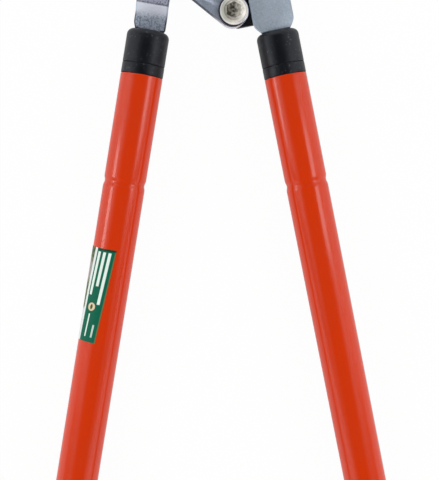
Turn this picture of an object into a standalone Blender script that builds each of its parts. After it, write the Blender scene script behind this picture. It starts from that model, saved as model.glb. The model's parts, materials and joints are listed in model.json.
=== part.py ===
"""Telescopic bypass lopper, lying flat with its handles part open.

Metres, +Z up, +Y towards the tip of the jaws and +X to the right as seen from above.
The two handle axes meet at a point on the centre line beyond the jaws, called the apex.
Each handle has its own axes: "reach" runs along it from the apex, and "side" runs across
it, towards +X. Heights are first counted from the plane of the handle axes.
"""

import bmesh
import bpy
from math import acos, atan2, ceil, cos, pi, radians, sin, sqrt, tan
from mathutils import Vector

# Overall sizes
OVERALL_LENGTH = 0.660
HANDLE_ANGLE = radians(10.48)
GAP = 0.0003
CUT_PAST = 0.0010
SIDES = 32
ARC_STEP = radians(7.5)

# Head: the hook is the plate in front, the blade and the lever plate share the layer behind it
BLADE_THICKNESS = 0.0040
HOOK_THICKNESS = 0.0050
ARM_THICKNESS = 0.0065
JAW_REACH = 0.0990
HOOK_WIDTH = 0.0320
BLADE_WIDTH = 0.0200
BOSS_RADIUS = 0.0170
BLADE_BOSS_RADIUS = 0.0160
BLADE_NECK_RADIUS = 0.0199
HUB_RADIUS = 0.0098
HUB_REACH = 0.2150
HUB_SIDE = -0.0252
TAIL_DIRECTION = radians(140.4)
TAIL_LENGTH = 0.0320
TAIL_WIDENING = 0.0016
NOTCH_FILLET = 0.0030
THROAT_FILLET = 0.0080
BEVEL_WIDTH = 0.0070
EDGE_LAND = 0.0004

# Gear teeth that join the lever to the blade
TOOTH_MODULE = 0.0040
LEVER_TEETH = 12
BLADE_TEETH = 20
PRESSURE_ANGLE = radians(25)
ADDENDUM = 0.8
DEDENDUM = 1.0
BACKLASH = 0.0005

# Arms that run from the head into the caps
STRAP_WIDTH = 0.0212
STRAP_ABOVE_HUB = 0.0380
STRAP_CORNER = 0.0020
STRAP_DRAW_IN = 0.0014
STRAP_DRAW_IN_LENGTH = 0.0042
STRAP_SIDE_FILLET = 0.0100
STRAP_FOOT_FILLET = 0.0010
JOGGLE_LENGTH = 0.0074
JOGGLE_ABOVE_CAP = 0.0106
JOGGLE_BENDS = 6
TANG_WIDTH = 0.0150
TANG_LENGTH = 0.0580
TANG_CORNER = 0.0020
TANG_ROOT_FILLET = 0.0005
TANG_OVERLAP = 0.0030
ARM_OUTER_SIDE = 0.0121
ARM_BESIDE_HUB = 0.0009
ARM_TOP_ABOVE_HUB = 0.0230
ARM_SHOULDER = 0.0050
ARM_SHOULDER_FILLET = 0.0080
ARM_TOP_FILLET = 0.0060
ARM_FOOT_FILLET = 0.0010
ARM_FOOT_INSET = 0.0010
ARM_RIM = 0.0024
PLATE_BELOW_HUB = 0.0108
PLATE_ABOVE_HUB = 0.0090
PLATE_OUTER_SIDE = 0.0090
PLATE_TOE = 0.0008
PLATE_TOE_FILLET = 0.0010
PLATE_CORNER = 0.0030

# Bolts, nuts and washers
PIVOT_SHANK_RADIUS = 0.0050
PIVOT_HEAD_RADIUS = 0.0115
PIVOT_NUT_FLATS = 0.0170
PIVOT_NUT_HEIGHT = 0.0085
HUB_SHANK_RADIUS = 0.0045
HUB_HEAD_RADIUS = 0.0092
HUB_NUT_FLATS = 0.0140
HUB_NUT_HEIGHT = 0.0070
SHANK_PAST_NUT = 0.0015
SHANK_CHAMFER = 0.0010
HEAD_DOME = 0.0050
HEAD_RIM = 0.0012
DOME_STEPS = 5
RECESS_RADIUS = 0.0047
RECESS_DEPTH = 0.0030
WASHER_THICKNESS = 0.0015
WASHER_MARGIN = 0.0050
SCREW_SHANK_RADIUS = 0.0025
SCREW_HEAD_RADIUS = 0.0042
SCREW_FACE_RADIUS = 0.0030
SCREW_HEAD_HEIGHT = 0.0024
SCREW_DEPTH = 0.0080
UPPER_SCREWS_ABOVE_HUB = 0.0030
LOWER_SCREW_BELOW_HUB = 0.0060
SCREW_SPREAD = 0.0110
SCREWS_SIDE = -0.0015

# Handles, from the cap down. The cast arm is a little longer than the steel one
CAP_BELOW_HUB = 0.0160
RIGHT_ARM_EXTRA = 0.0019
CAP_LENGTH = 0.0223
CAP_RADIUS = 0.0140
CAP_SHOULDER = 0.0040
CAP_ROOF = 0.0050
CAP_SHOULDER_STEPS = 4
RING_LENGTH = 0.0068
OUTER_TUBE_RADIUS = 0.0140
INNER_TUBE_RADIUS = 0.0105
TUBE_WALL = 0.0012
CRIMP_BELOW_RING = 0.0719
CRIMP_LENGTH = 0.0070
CRIMP_DEPTH = 0.0007
CRIMP_STEPS = 6
BUSHING_PAST_CRIMP = 0.0080
LOCK_PLUG_LENGTH = 0.0140
LOCK_FLANGE = 0.0030
LOCK_STUD_RADIUS = 0.0035
LOCK_STOP_RADIUS = 0.0060
LOCK_SLEEVE_LENGTH = 0.0220
LOCK_SLIT = 0.0025
LOCK_ABOVE_PLUG = 0.0500
TANG_PIN_RADIUS = 0.0025
TANG_PIN_BELOW_CAP_TOP = 0.0155
GRIP_LENGTH = 0.1450
GRIP_RADIUS = 0.0170
GRIP_WAIST = 0.0155
GRIP_SWELL = 0.0009
GRIP_FLARE_START = 0.7
GRIP_STEPS = 10
END_CAP_INSET = 0.0010
END_CAP_CHAMFER = 0.0015
END_CAP_FLANGE = 0.0050
END_CAP_PLUG = 0.0160

# Heights, from the plane of the handle axes
LAYER_TOP = BLADE_THICKNESS / 2
LAYER_BOTTOM = -BLADE_THICKNESS / 2
HOOK_BOTTOM = LAYER_TOP + GAP
HOOK_TOP = HOOK_BOTTOM + HOOK_THICKNESS
ARM_TOP = HOOK_BOTTOM + ARM_THICKNESS
AXIS_HEIGHT = GRIP_RADIUS

# Places in the plane, from the apex
ALONG_LEFT = Vector((-sin(HANDLE_ANGLE), -cos(HANDLE_ANGLE)))
ALONG_RIGHT = Vector((sin(HANDLE_ANGLE), -cos(HANDLE_ANGLE)))
ACROSS_LEFT = Vector((cos(HANDLE_ANGLE), -sin(HANDLE_ANGLE)))
ACROSS_RIGHT = Vector((cos(HANDLE_ANGLE), sin(HANDLE_ANGLE)))


def on_left(reach, side):
    return ALONG_LEFT * reach + ACROSS_LEFT * side


def on_right(reach, side):
    return ALONG_RIGHT * reach + ACROSS_RIGHT * side


def turned_by(angle, length=1.0):
    return Vector((cos(angle), sin(angle))) * length


LEVER_PITCH_RADIUS = TOOTH_MODULE * LEVER_TEETH / 2
BLADE_PITCH_RADIUS = TOOTH_MODULE * BLADE_TEETH / 2
TURN_RATIO = LEVER_TEETH / BLADE_TEETH
CENTRES = LEVER_PITCH_RADIUS + BLADE_PITCH_RADIUS
HUB = on_right(HUB_REACH, HUB_SIDE)
TAIL_END = HUB + turned_by(TAIL_DIRECTION + pi / 2, TAIL_WIDENING)
PIVOT = Vector((0, HUB.y + sqrt(CENTRES**2 - HUB.x**2)))
TO_PIVOT = atan2(PIVOT.y - HUB.y, PIVOT.x - HUB.x)
CLOSING_TURN = 2 * HANDLE_ANGLE
CLOSED_BLADE_TURN = CLOSING_TURN * TURN_RATIO

TIP_Y = PIVOT.y + JAW_REACH
HANDLE_END = (OVERALL_LENGTH - TIP_Y - GRIP_RADIUS * sin(HANDLE_ANGLE)) / cos(HANDLE_ANGLE)
APEX_Y = OVERALL_LENGTH / 2 - TIP_Y
LEFT_CAP_TOP = HUB_REACH + CAP_BELOW_HUB
RIGHT_CAP_TOP = LEFT_CAP_TOP + RIGHT_ARM_EXTRA

# Distances along each handle, from the top of its cap. The handle draws out until the end of
# its bushing meets the top of the lock sleeve
RING_TOP = CAP_LENGTH + GAP
TUBE_TOP = RING_TOP + RING_LENGTH + GAP
CRIMP_AT = TUBE_TOP + CRIMP_BELOW_RING
BUSHING_END = CRIMP_AT + CRIMP_LENGTH / 2 + BUSHING_PAST_CRIMP
INNER_TUBE_TOP = CAP_ROOF + GAP
END_CAP_END = HANDLE_END - RIGHT_CAP_TOP
TUBE_END = END_CAP_END - END_CAP_FLANGE - GAP
GRIP_TOP = TUBE_END - GRIP_LENGTH
PLUG_TOP = TUBE_END - END_CAP_PLUG
CORE_END = PLUG_TOP - LOCK_ABOVE_PLUG
SLEEVE_END = CORE_END - LOCK_FLANGE - GAP
SLEEVE_TOP = SLEEVE_END - LOCK_SLEEVE_LENGTH
INNER_TUBE_END = SLEEVE_TOP - LOCK_FLANGE - 2 * GAP

# Radii that fit inside each other
OUTER_BORE = OUTER_TUBE_RADIUS - TUBE_WALL
INNER_BORE = INNER_TUBE_RADIUS - TUBE_WALL
BUSHING_BORE = INNER_TUBE_RADIUS + GAP
BUSHING_RADIUS = OUTER_BORE - GAP
TANG_THICKNESS = HOOK_THICKNESS
LEFT_PIN = on_left(LEFT_CAP_TOP + TANG_PIN_BELOW_CAP_TOP, 0)
RIGHT_PIN = on_right(RIGHT_CAP_TOP + TANG_PIN_BELOW_CAP_TOP, 0)

STEEL = ("ground_steel", (0.34, 0.36, 0.40), 0.38, 1.0)
BLADE_STEEL = ("blade_steel", (0.55, 0.56, 0.58), 0.25, 1.0)
CAST_GREY = ("cast_grey", (0.33, 0.38, 0.44), 0.55, 0.6)
BOLT_NICKEL = ("bolt_nickel", (0.72, 0.70, 0.65), 0.18, 1.0)
LEVER_BLACK = ("lever_black", (0.02, 0.02, 0.025), 0.45, 0.4)
CAP_BLACK = ("cap_black", (0.018, 0.019, 0.022), 0.42, 0.0)
TUBE_ORANGE = ("tube_orange", (0.66, 0.060, 0.012), 0.30, 0.0)
TUBE_BRIGHT = ("tube_bright", (0.66, 0.67, 0.69), 0.30, 1.0)
GRIP_RUBBER = ("grip_rubber", (0.02, 0.02, 0.02), 0.80, 0.0)
LOCK_NYLON = ("lock_nylon", (0.75, 0.75, 0.72), 0.55, 0.0)


# Scene and materials


def clear_scene():
    for old in list(bpy.data.objects):
        bpy.data.objects.remove(old, do_unlink=True)


def make_collection(name):
    collection = bpy.data.collections.new(name)
    bpy.context.scene.collection.children.link(collection)
    return collection


def finish_of(spec):
    name, colour, roughness, metallic = spec
    material = bpy.data.materials.get(name)
    if material is None:
        material = bpy.data.materials.new(name)
        material.use_nodes = True
        shader = material.node_tree.nodes["Principled BSDF"]
        shader.inputs["Base Color"].default_value = (*colour, 1)
        shader.inputs["Roughness"].default_value = roughness
        shader.inputs["Metallic"].default_value = metallic
        material.diffuse_color = (*colour, 1)
    return material


# Outlines in the plane


def arc(centre, radius, start, end):
    steps = max(2, ceil(abs(end - start) / ARC_STEP))
    return [centre + turned_by(start + (end - start) * k / steps, radius) for k in range(steps + 1)]


def filleted(corners):
    """The outline through these (point, radius) corners, with each corner rounded."""
    outline = []
    for k, (corner, radius) in enumerate(corners):
        if radius == 0:
            outline.append(corner)
            continue
        back = (corners[k - 1][0] - corner).normalized()
        ahead = (corners[(k + 1) % len(corners)][0] - corner).normalized()
        half = back.angle(ahead) / 2
        centre = corner + (back + ahead).normalized() * (radius / sin(half))
        first = corner + back * (radius / tan(half)) - centre
        last = corner + ahead * (radius / tan(half)) - centre
        start = atan2(first.y, first.x)
        sweep = (atan2(last.y, last.x) - start + pi) % (2 * pi) - pi
        outline += arc(centre, radius, start, start + sweep)
    return outline


def smooth_through(points, steps=4):
    """Points along a smooth curve through these, both ends included."""
    ends = [points[0] * 2 - points[1], *points, points[-1] * 2 - points[-2]]
    curve = []
    for a, b, c, d in zip(ends, ends[1:], ends[2:], ends[3:]):
        for k in range(steps):
            t = k / steps
            square = (2 * a - 5 * b + 4 * c - d) * t**2
            cube = (3 * b - a - 3 * c + d) * t**3
            curve.append((2 * b + (c - a) * t + square + cube) / 2)
    return curve + [points[-1]]


def sharp(points):
    return [(point, 0) for point in points]


def involute(angle):
    return tan(angle) - angle


def tooth(centre, teeth, direction):
    """One involute tooth, from its clockwise root over the tip to its other root."""
    pitch_radius = TOOTH_MODULE * teeth / 2
    base_radius = pitch_radius * cos(PRESSURE_ANGLE)
    root = pitch_radius - DEDENDUM * TOOTH_MODULE
    tip = pitch_radius + ADDENDUM * TOOTH_MODULE
    half_at_pitch = pi / (2 * teeth) - BACKLASH / (2 * pitch_radius)
    flank_start = max(root, base_radius)
    radii = [root] + [flank_start + (tip - flank_start) * k / 4 for k in range(5)]
    halves = []
    for radius in radii:
        pressure = acos(min(1, base_radius / max(radius, base_radius)))
        halves.append(half_at_pitch + involute(PRESSURE_ANGLE) - involute(pressure))
    rising = [centre + turned_by(direction - half, radius) for radius, half in zip(radii, halves)]
    falling = [centre + turned_by(direction + half, radius) for radius, half in zip(radii, halves)]
    return rising + falling[::-1]


def teeth_on(centre, teeth, first_direction, count):
    outline = []
    for k in range(count):
        outline += tooth(centre, teeth, first_direction + 2 * pi * k / teeth)
    return outline


# Solids


def place(obj, finish, parent=None, collection=None):
    holder = PARTS if collection is None else collection
    holder.objects.link(obj)
    obj.data.materials.clear()
    obj.data.materials.append(finish_of(finish))
    obj.parent = parent
    return obj


def solid_from(bm, name, finish, parent=None, collection=None):
    bmesh.ops.remove_doubles(bm, verts=bm.verts, dist=1e-7)
    bmesh.ops.recalc_face_normals(bm, faces=bm.faces)
    mesh = bpy.data.meshes.new(name)
    bm.to_mesh(mesh)
    bm.free()
    mesh.shade_smooth()
    mesh.set_sharp_from_angle(angle=radians(35))
    return place(bpy.data.objects.new(name, mesh), finish, parent, collection)


def mesh_of_curve(curve_object):
    """The curve as a welded bmesh in world space. The curve is removed."""
    bpy.context.scene.collection.objects.link(curve_object)
    graph = bpy.context.evaluated_depsgraph_get()
    mesh = bpy.data.meshes.new_from_object(curve_object.evaluated_get(graph))
    bm = bmesh.new()
    bm.from_mesh(mesh)
    bm.transform(curve_object.matrix_world)
    bmesh.ops.remove_doubles(bm, verts=bm.verts, dist=1e-7)
    bpy.data.objects.remove(curve_object)
    bpy.data.meshes.remove(mesh)
    return bm


def cut_out(outline, bottom, top):
    """A flat outline in the plane, as a welded bmesh between two heights."""
    curve = bpy.data.curves.new("outline", "CURVE")
    curve.dimensions = "2D"
    curve.fill_mode = "BOTH"
    curve.extrude = (top - bottom) / 2
    spline = curve.splines.new("POLY")
    spline.points.add(len(outline) - 1)
    for knot, point in zip(spline.points, outline):
        knot.co = (point.x, point.y + APEX_Y, 0, 1)
    spline.use_cyclic_u = True
    holder = bpy.data.objects.new("outline", curve)
    holder.location.z = AXIS_HEIGHT + (top + bottom) / 2
    bpy.context.view_layer.update()
    return mesh_of_curve(holder)


def round_rim(bm, height, width, segments):
    """Rounds the sharp rim of the flat face at this height."""
    level = AXIS_HEIGHT + height
    rim = [
        edge
        for edge in bm.edges
        if all(abs(vert.co.z - level) < 1e-6 for vert in edge.verts) and edge.calc_face_angle(0) > radians(45)
    ]
    bmesh.ops.bevel(
        bm, geom=rim, offset=width, segments=segments, profile=0.5, affect="EDGES", clamp_overlap=True
    )


def turned(name, profile, finish, parent, sides=None):
    """A turned piece about its parent's Z. The profile runs down the outer side first."""
    mesh = bpy.data.meshes.new(name)
    closed = min(radius for radius, _ in profile) > 0
    edges = [(k, k + 1) for k in range(len(profile) - 1)]
    if closed:
        edges.append((len(profile) - 1, 0))
    mesh.from_pydata([(radius, 0, along) for radius, along in profile], edges, [])
    obj = bpy.data.objects.new(name, mesh)
    screw = obj.modifiers.new("turn", "SCREW")
    screw.steps = sides or SIDES
    screw.render_steps = screw.steps
    screw.use_merge_vertices = True
    screw.merge_threshold = 1e-5
    bpy.context.scene.collection.objects.link(obj)
    graph = bpy.context.evaluated_depsgraph_get()
    made = bpy.data.meshes.new_from_object(obj.evaluated_get(graph))
    bpy.data.objects.remove(obj)
    bpy.data.meshes.remove(mesh)
    bm = bmesh.new()
    bm.from_mesh(made)
    bpy.data.meshes.remove(made)
    return solid_from(bm, name, finish, parent)


def cut(target, cutter):
    cutter.hide_render = True
    cutter.display_type = "WIRE"
    modifier = target.modifiers.new(cutter.name, "BOOLEAN")
    modifier.operation = "DIFFERENCE"
    modifier.solver = "EXACT"
    modifier.object = cutter


def add_solid(target, other):
    other.hide_render = True
    other.display_type = "WIRE"
    modifier = target.modifiers.new(other.name, "BOOLEAN")
    modifier.operation = "UNION"
    modifier.solver = "EXACT"
    modifier.object = other


def drill(target, centre, radius, bottom, top):
    """A round hole that runs past a flat piece's two faces, at these heights."""
    bm = bmesh.new()
    depth = top - bottom + 2 * CUT_PAST
    bmesh.ops.create_cone(bm, cap_ends=True, segments=SIDES, radius1=radius, radius2=radius, depth=depth)
    middle = AXIS_HEIGHT + (top + bottom) / 2
    bmesh.ops.translate(bm, verts=bm.verts, vec=(centre.x, centre.y + APEX_Y, middle))
    cut(target, solid_from(bm, f"{target.name}_drill", STEEL, None, CUTTERS))


def box_cutter(name, width, height, depth, parent, along, rise=0.0):
    """A box across its parent's Z: width on X, height on Y, and depth along Z from "along"."""
    bm = bmesh.new()
    bmesh.ops.create_cube(bm, size=1)
    bmesh.ops.scale(bm, verts=bm.verts, vec=(width, height, depth))
    bmesh.ops.translate(bm, verts=bm.verts, vec=(0, rise, along + depth / 2))
    return solid_from(bm, name, STEEL, parent, CUTTERS)


# Jaws, lever and bolts


def tail_edge(side):
    """A point and the direction of one straight edge of the hook's tail. The side is 1 or -1."""
    centre = HUB if side > 0 else TAIL_END
    return centre + turned_by(TAIL_DIRECTION - side * pi / 2, HUB_RADIUS), turned_by(TAIL_DIRECTION)


def meeting(point, direction, other_point, other_direction):
    """Where two lines in the plane cross."""
    offset = other_point - point
    scale = offset.cross(other_direction) / direction.cross(other_direction)
    return point + direction * scale


def hook_point(across, along):
    """A point of the hook, in shares of its width and of the jaw's reach from the pivot."""
    return PIVOT + Vector((across * HOOK_WIDTH, along * JAW_REACH))


def blade_point(across, along):
    """A point of the blade in shares of its width and reach with the jaws shut, at its place at rest."""
    shut = Vector((across * BLADE_WIDTH, along * JAW_REACH))
    return PIVOT + turned_by(atan2(shut.y, shut.x) - CLOSED_BLADE_TURN, shut.length)


def make_hook():
    half = STRAP_WIDTH / 2
    tang = TANG_WIDTH / 2
    shoulder = LEFT_CAP_TOP - GAP
    tang_end = LEFT_CAP_TOP + TANG_LENGTH
    lower_point, tail = tail_edge(-1)
    upper_point, _ = tail_edge(1)
    notch = meeting(lower_point, tail, on_left(0, half), ALONG_LEFT)
    throat = upper_point + tail * TAIL_LENGTH
    boss = arc(PIVOT, BOSS_RADIUS, radians(-28), radians(40))
    inner_edge = smooth_through(
        [
            boss[-1],
            hook_point(0.03, 0.212),
            hook_point(-0.28, 0.343),
            hook_point(-0.44, 0.525),
            hook_point(-0.39, 0.707),
            hook_point(-0.19, 0.869),
            hook_point(0.16, 1.0),
        ]
    )
    outer_edge = smooth_through(
        [
            hook_point(-0.16, 0.975),
            hook_point(-0.53, 0.889),
            hook_point(-0.81, 0.727),
            hook_point(-0.95, 0.525),
            hook_point(-0.97, 0.303),
            hook_point(-1.0, 0.061),
            on_left(HUB_REACH - STRAP_ABOVE_HUB, -half),
        ]
    )
    outline = filleted(
        [
            (on_left(tang_end, -tang), TANG_CORNER),
            (on_left(tang_end, tang), TANG_CORNER),
            (on_left(shoulder, tang), TANG_ROOT_FILLET),
            (on_left(shoulder, half), STRAP_CORNER),
            (notch, NOTCH_FILLET),
        ]
        + sharp(arc(TAIL_END, HUB_RADIUS, TAIL_DIRECTION + pi / 2, TAIL_DIRECTION + pi))
        + sharp(arc(HUB, HUB_RADIUS, TAIL_DIRECTION + pi, TAIL_DIRECTION + 1.5 * pi))
        + [(throat, THROAT_FILLET)]
        + sharp(boss[:-1])
        + sharp(inner_edge)
        + sharp(outer_edge)
        + [
            (on_left(shoulder - STRAP_DRAW_IN_LENGTH, -half), STRAP_SIDE_FILLET),
            (on_left(shoulder, STRAP_DRAW_IN - half), STRAP_FOOT_FILLET),
            (on_left(shoulder, -tang), TANG_ROOT_FILLET),
        ]
    )
    bm = cut_out(outline, HOOK_BOTTOM, HOOK_TOP)
    joggle(bm)
    hook = solid_from(bm, "hook_with_left_arm", STEEL)
    drill(hook, PIVOT, PIVOT_SHANK_RADIUS + GAP, HOOK_BOTTOM, HOOK_TOP)
    drill(hook, HUB, HUB_SHANK_RADIUS + GAP, HOOK_BOTTOM, HOOK_TOP)
    drill(hook, LEFT_PIN, TANG_PIN_RADIUS + GAP, -TANG_THICKNESS, TANG_THICKNESS)


def joggle(bm):
    """Steps the left arm back from the hook's layer to the middle of its handle."""
    end = LEFT_CAP_TOP - JOGGLE_ABOVE_CAP
    start = end - JOGGLE_LENGTH
    drop = (HOOK_TOP + HOOK_BOTTOM) / 2
    for k in range(JOGGLE_BENDS + 1):
        bend = on_left(start + JOGGLE_LENGTH * k / JOGGLE_BENDS, 0)
        bmesh.ops.bisect_plane(
            bm,
            geom=bm.verts[:] + bm.edges[:] + bm.faces[:],
            dist=1e-7,
            plane_co=(bend.x, bend.y + APEX_Y, 0),
            plane_no=(ALONG_LEFT.x, ALONG_LEFT.y, 0),
        )
    for vert in bm.verts:
        flat = Vector((vert.co.x, vert.co.y - APEX_Y))
        along = (flat.dot(ALONG_LEFT) - start) / JOGGLE_LENGTH
        if abs(flat.dot(ACROSS_LEFT)) < STRAP_WIDTH and along > 0:
            eased = min(along, 1.0)
            vert.co.z -= drop * eased * eased * (3 - 2 * eased)


def make_blade():
    cutting = smooth_through(
        [
            blade_point(0.125, 0.975),
            blade_point(-0.375, 0.879),
            blade_point(-0.75, 0.727),
            blade_point(-0.90, 0.566),
            blade_point(-0.80, 0.404),
            blade_point(-0.55, 0.273),
            PIVOT + turned_by(radians(95), BLADE_NECK_RADIUS),
        ]
    )
    back = smooth_through(
        [
            blade_point(0.825, 0.061),
            blade_point(0.95, 0.222),
            blade_point(1.02, 0.404),
            blade_point(0.975, 0.586),
            blade_point(0.75, 0.778),
            blade_point(0.425, 0.914),
        ]
    )
    boss_left = arc(PIVOT, BLADE_BOSS_RADIUS, radians(130), radians(190))
    first_tooth = TO_PIVOT + pi - 2 * pi / BLADE_TEETH
    teeth = teeth_on(PIVOT, BLADE_TEETH, first_tooth, 4)
    root = BLADE_PITCH_RADIUS - DEDENDUM * TOOTH_MODULE
    left_end = PIVOT + turned_by(first_tooth - pi / BLADE_TEETH, root)
    right_end = PIVOT + turned_by(first_tooth + 7 * pi / BLADE_TEETH, root)
    boss_right = arc(PIVOT, BLADE_BOSS_RADIUS, radians(-20), radians(-5))
    rest = boss_left + [left_end] + teeth + [right_end] + boss_right + back
    outline = cutting + rest
    ground = []
    for k, point in enumerate(cutting):
        share = sin(pi * min(k + 0.5, len(cutting) - k - 0.5) / len(cutting))
        ahead = cutting[min(k + 1, len(cutting) - 1)] - cutting[max(k - 1, 0)]
        inward = Vector((-ahead.y, ahead.x)).normalized()
        ground.append(point + inward * BEVEL_WIDTH * min(1, 1.6 * share))
    bm = bmesh.new()
    levels = (
        (outline, LAYER_TOP),
        (outline, LAYER_TOP - EDGE_LAND),
        (ground + rest, LAYER_BOTTOM),
    )
    rings = [
        [bm.verts.new((p.x, p.y + APEX_Y, AXIS_HEIGHT + level)) for p in points] for points, level in levels
    ]
    bm.faces.new(rings[0])
    bm.faces.new(rings[-1][::-1])
    for upper, lower in zip(rings, rings[1:]):
        for k in range(len(upper)):
            bm.faces.new((upper[k - 1], lower[k - 1], lower[k], upper[k]))
    blade = solid_from(bm, "blade", BLADE_STEEL)
    drill(blade, PIVOT, PIVOT_SHANK_RADIUS + GAP, LAYER_BOTTOM, LAYER_TOP)


def make_lever_plate():
    first_tooth = TO_PIVOT - 3 * pi / LEVER_TEETH
    teeth = teeth_on(HUB, LEVER_TEETH, first_tooth, 4)
    root = LEVER_PITCH_RADIUS - DEDENDUM * TOOTH_MODULE
    right_end = HUB + turned_by(first_tooth - pi / LEVER_TEETH, root)
    left_end = HUB + turned_by(first_tooth + 7 * pi / LEVER_TEETH, root)
    bottom = HUB_REACH + PLATE_BELOW_HUB
    top = HUB_REACH - PLATE_ABOVE_HUB
    outline = filleted(
        [(right_end, 0)]
        + sharp(teeth)
        + [(left_end, 0)]
        + sharp(arc(HUB, HUB_RADIUS, radians(195), radians(250)))
        + [
            (on_right(bottom, HUB_SIDE + PLATE_TOE), PLATE_TOE_FILLET),
            (on_right(bottom, PLATE_OUTER_SIDE), PLATE_CORNER),
            (on_right(top, PLATE_OUTER_SIDE), PLATE_CORNER),
        ]
    )
    plate = solid_from(cut_out(outline, LAYER_BOTTOM, LAYER_TOP), "lever_plate", LEVER_BLACK)
    drill(plate, HUB, HUB_SHANK_RADIUS + GAP, LAYER_BOTTOM, LAYER_TOP)
    for point in lever_screw_points():
        drill(plate, point, SCREW_SHANK_RADIUS + GAP, LAYER_BOTTOM, LAYER_TOP)


def lever_screw_points():
    upper = HUB_REACH - UPPER_SCREWS_ABOVE_HUB
    return [
        on_right(upper, SCREWS_SIDE - SCREW_SPREAD / 2),
        on_right(upper, SCREWS_SIDE + SCREW_SPREAD / 2),
        on_right(HUB_REACH + LOWER_SCREW_BELOW_HUB, SCREWS_SIDE),
    ]


def make_lever_arm():
    inner = HUB_SIDE + HUB_RADIUS + ARM_BESIDE_HUB
    top = HUB_REACH - ARM_TOP_ABOVE_HUB
    shoulder = RIGHT_CAP_TOP - ARM_SHOULDER
    end = RIGHT_CAP_TOP - GAP
    foot_inner = CAP_SHOULDER - CAP_RADIUS
    foot_outer = CAP_RADIUS - CAP_SHOULDER - ARM_FOOT_INSET
    outline = filleted(
        [
            (on_right(top, inner), ARM_TOP_FILLET),
            (on_right(shoulder, inner), ARM_SHOULDER_FILLET),
            (on_right(end, foot_inner), ARM_FOOT_FILLET),
            (on_right(end, foot_outer), ARM_FOOT_FILLET),
            (on_right(shoulder, ARM_OUTER_SIDE), ARM_SHOULDER_FILLET),
            (on_right(top, ARM_OUTER_SIDE), ARM_TOP_FILLET),
        ]
    )
    bm = cut_out(outline, HOOK_BOTTOM, ARM_TOP)
    round_rim(bm, ARM_TOP, ARM_RIM, 3)
    arm = solid_from(bm, "lever_arm", CAST_GREY)
    plate_bottom = HUB_REACH + PLATE_BELOW_HUB + 2 * GAP
    heel = [
        on_right(plate_bottom, foot_inner + GAP),
        on_right(end - GAP, foot_inner + GAP),
        on_right(end - GAP, foot_outer - GAP),
        on_right(plate_bottom, foot_outer - GAP),
    ]
    heel_block = cut_out(heel, LAYER_BOTTOM, HOOK_BOTTOM + ARM_RIM / 2)
    add_solid(arm, solid_from(heel_block, "lever_arm_heel", CAST_GREY, None, CUTTERS))
    half = TANG_WIDTH / 2
    tang = filleted(
        [
            (on_right(end - TANG_OVERLAP, -half), 0),
            (on_right(RIGHT_CAP_TOP + TANG_LENGTH, -half), TANG_CORNER),
            (on_right(RIGHT_CAP_TOP + TANG_LENGTH, half), TANG_CORNER),
            (on_right(end - TANG_OVERLAP, half), 0),
        ]
    )
    tongue = cut_out(tang, -TANG_THICKNESS / 2, TANG_THICKNESS / 2)
    add_solid(arm, solid_from(tongue, "lever_arm_tang", CAST_GREY, None, CUTTERS))
    for point in lever_screw_points():
        blind_end = LAYER_BOTTOM + SCREW_DEPTH + GAP
        drill(arm, point, SCREW_SHANK_RADIUS + GAP, HOOK_BOTTOM, blind_end - CUT_PAST)
    drill(arm, RIGHT_PIN, TANG_PIN_RADIUS + GAP, -TANG_THICKNESS, TANG_THICKNESS)


def upright_at(name, point):
    """An empty on a vertical axis of the head, at the height of the handle axes."""
    empty = bpy.data.objects.new(name, None)
    empty.location = (point.x, point.y + APEX_Y, AXIS_HEIGHT)
    PARTS.objects.link(empty)
    return empty


def hexagon_cutter(name, radius, bottom, top, parent):
    bm = bmesh.new()
    bmesh.ops.create_cone(bm, cap_ends=True, segments=6, radius1=radius, radius2=radius, depth=top - bottom)
    bmesh.ops.translate(bm, verts=bm.verts, vec=(0, 0, (top + bottom) / 2))
    return solid_from(bm, name, STEEL, parent, CUTTERS)


def make_bolt(name, axis, head_radius, shank_radius, shank_end):
    """A domed bolt whose head stands on the front of the hook plate."""
    seat = HOOK_TOP + GAP
    rim_top = seat + HEAD_RIM
    dome = []
    for k in range(DOME_STEPS):
        angle = pi / 2 * k / DOME_STEPS
        dome.append((head_radius * sin(angle), rim_top + (HEAD_DOME - HEAD_RIM) * cos(angle)))
    profile = dome + [
        (head_radius, rim_top),
        (head_radius, seat),
        (shank_radius, seat),
        (shank_radius, shank_end + SHANK_CHAMFER),
        (shank_radius - SHANK_CHAMFER, shank_end),
        (0, shank_end),
    ]
    bolt = turned(name, profile, BOLT_NICKEL, axis)
    top = seat + HEAD_DOME
    cut(bolt, hexagon_cutter(f"{name}_recess", RECESS_RADIUS, top - RECESS_DEPTH, top + CUT_PAST, axis))


def make_washer(name, axis, bore_radius):
    top = LAYER_BOTTOM - GAP
    outer = bore_radius + WASHER_MARGIN
    low = top - WASHER_THICKNESS
    turned(name, [(outer, top), (outer, low), (bore_radius, low), (bore_radius, top)], TUBE_BRIGHT, axis)


def make_nut(name, axis, flats, height, shank_radius):
    top = LAYER_BOTTOM - WASHER_THICKNESS - 2 * GAP
    bm = bmesh.new()
    radius = flats / 2 / cos(pi / 6)
    bmesh.ops.create_cone(bm, cap_ends=True, segments=6, radius1=radius, radius2=radius, depth=height)
    bmesh.ops.translate(bm, verts=bm.verts, vec=(0, 0, top - height / 2))
    nut = solid_from(bm, name, BOLT_NICKEL, axis)
    bore = bmesh.new()
    bore_radius = shank_radius + GAP
    depth = height + 2 * CUT_PAST
    bmesh.ops.create_cone(
        bore, cap_ends=True, segments=SIDES, radius1=bore_radius, radius2=bore_radius, depth=depth
    )
    bmesh.ops.translate(bore, verts=bore.verts, vec=(0, 0, top - height / 2))
    cut(nut, solid_from(bore, f"{name}_bore", STEEL, axis, CUTTERS))


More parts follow.
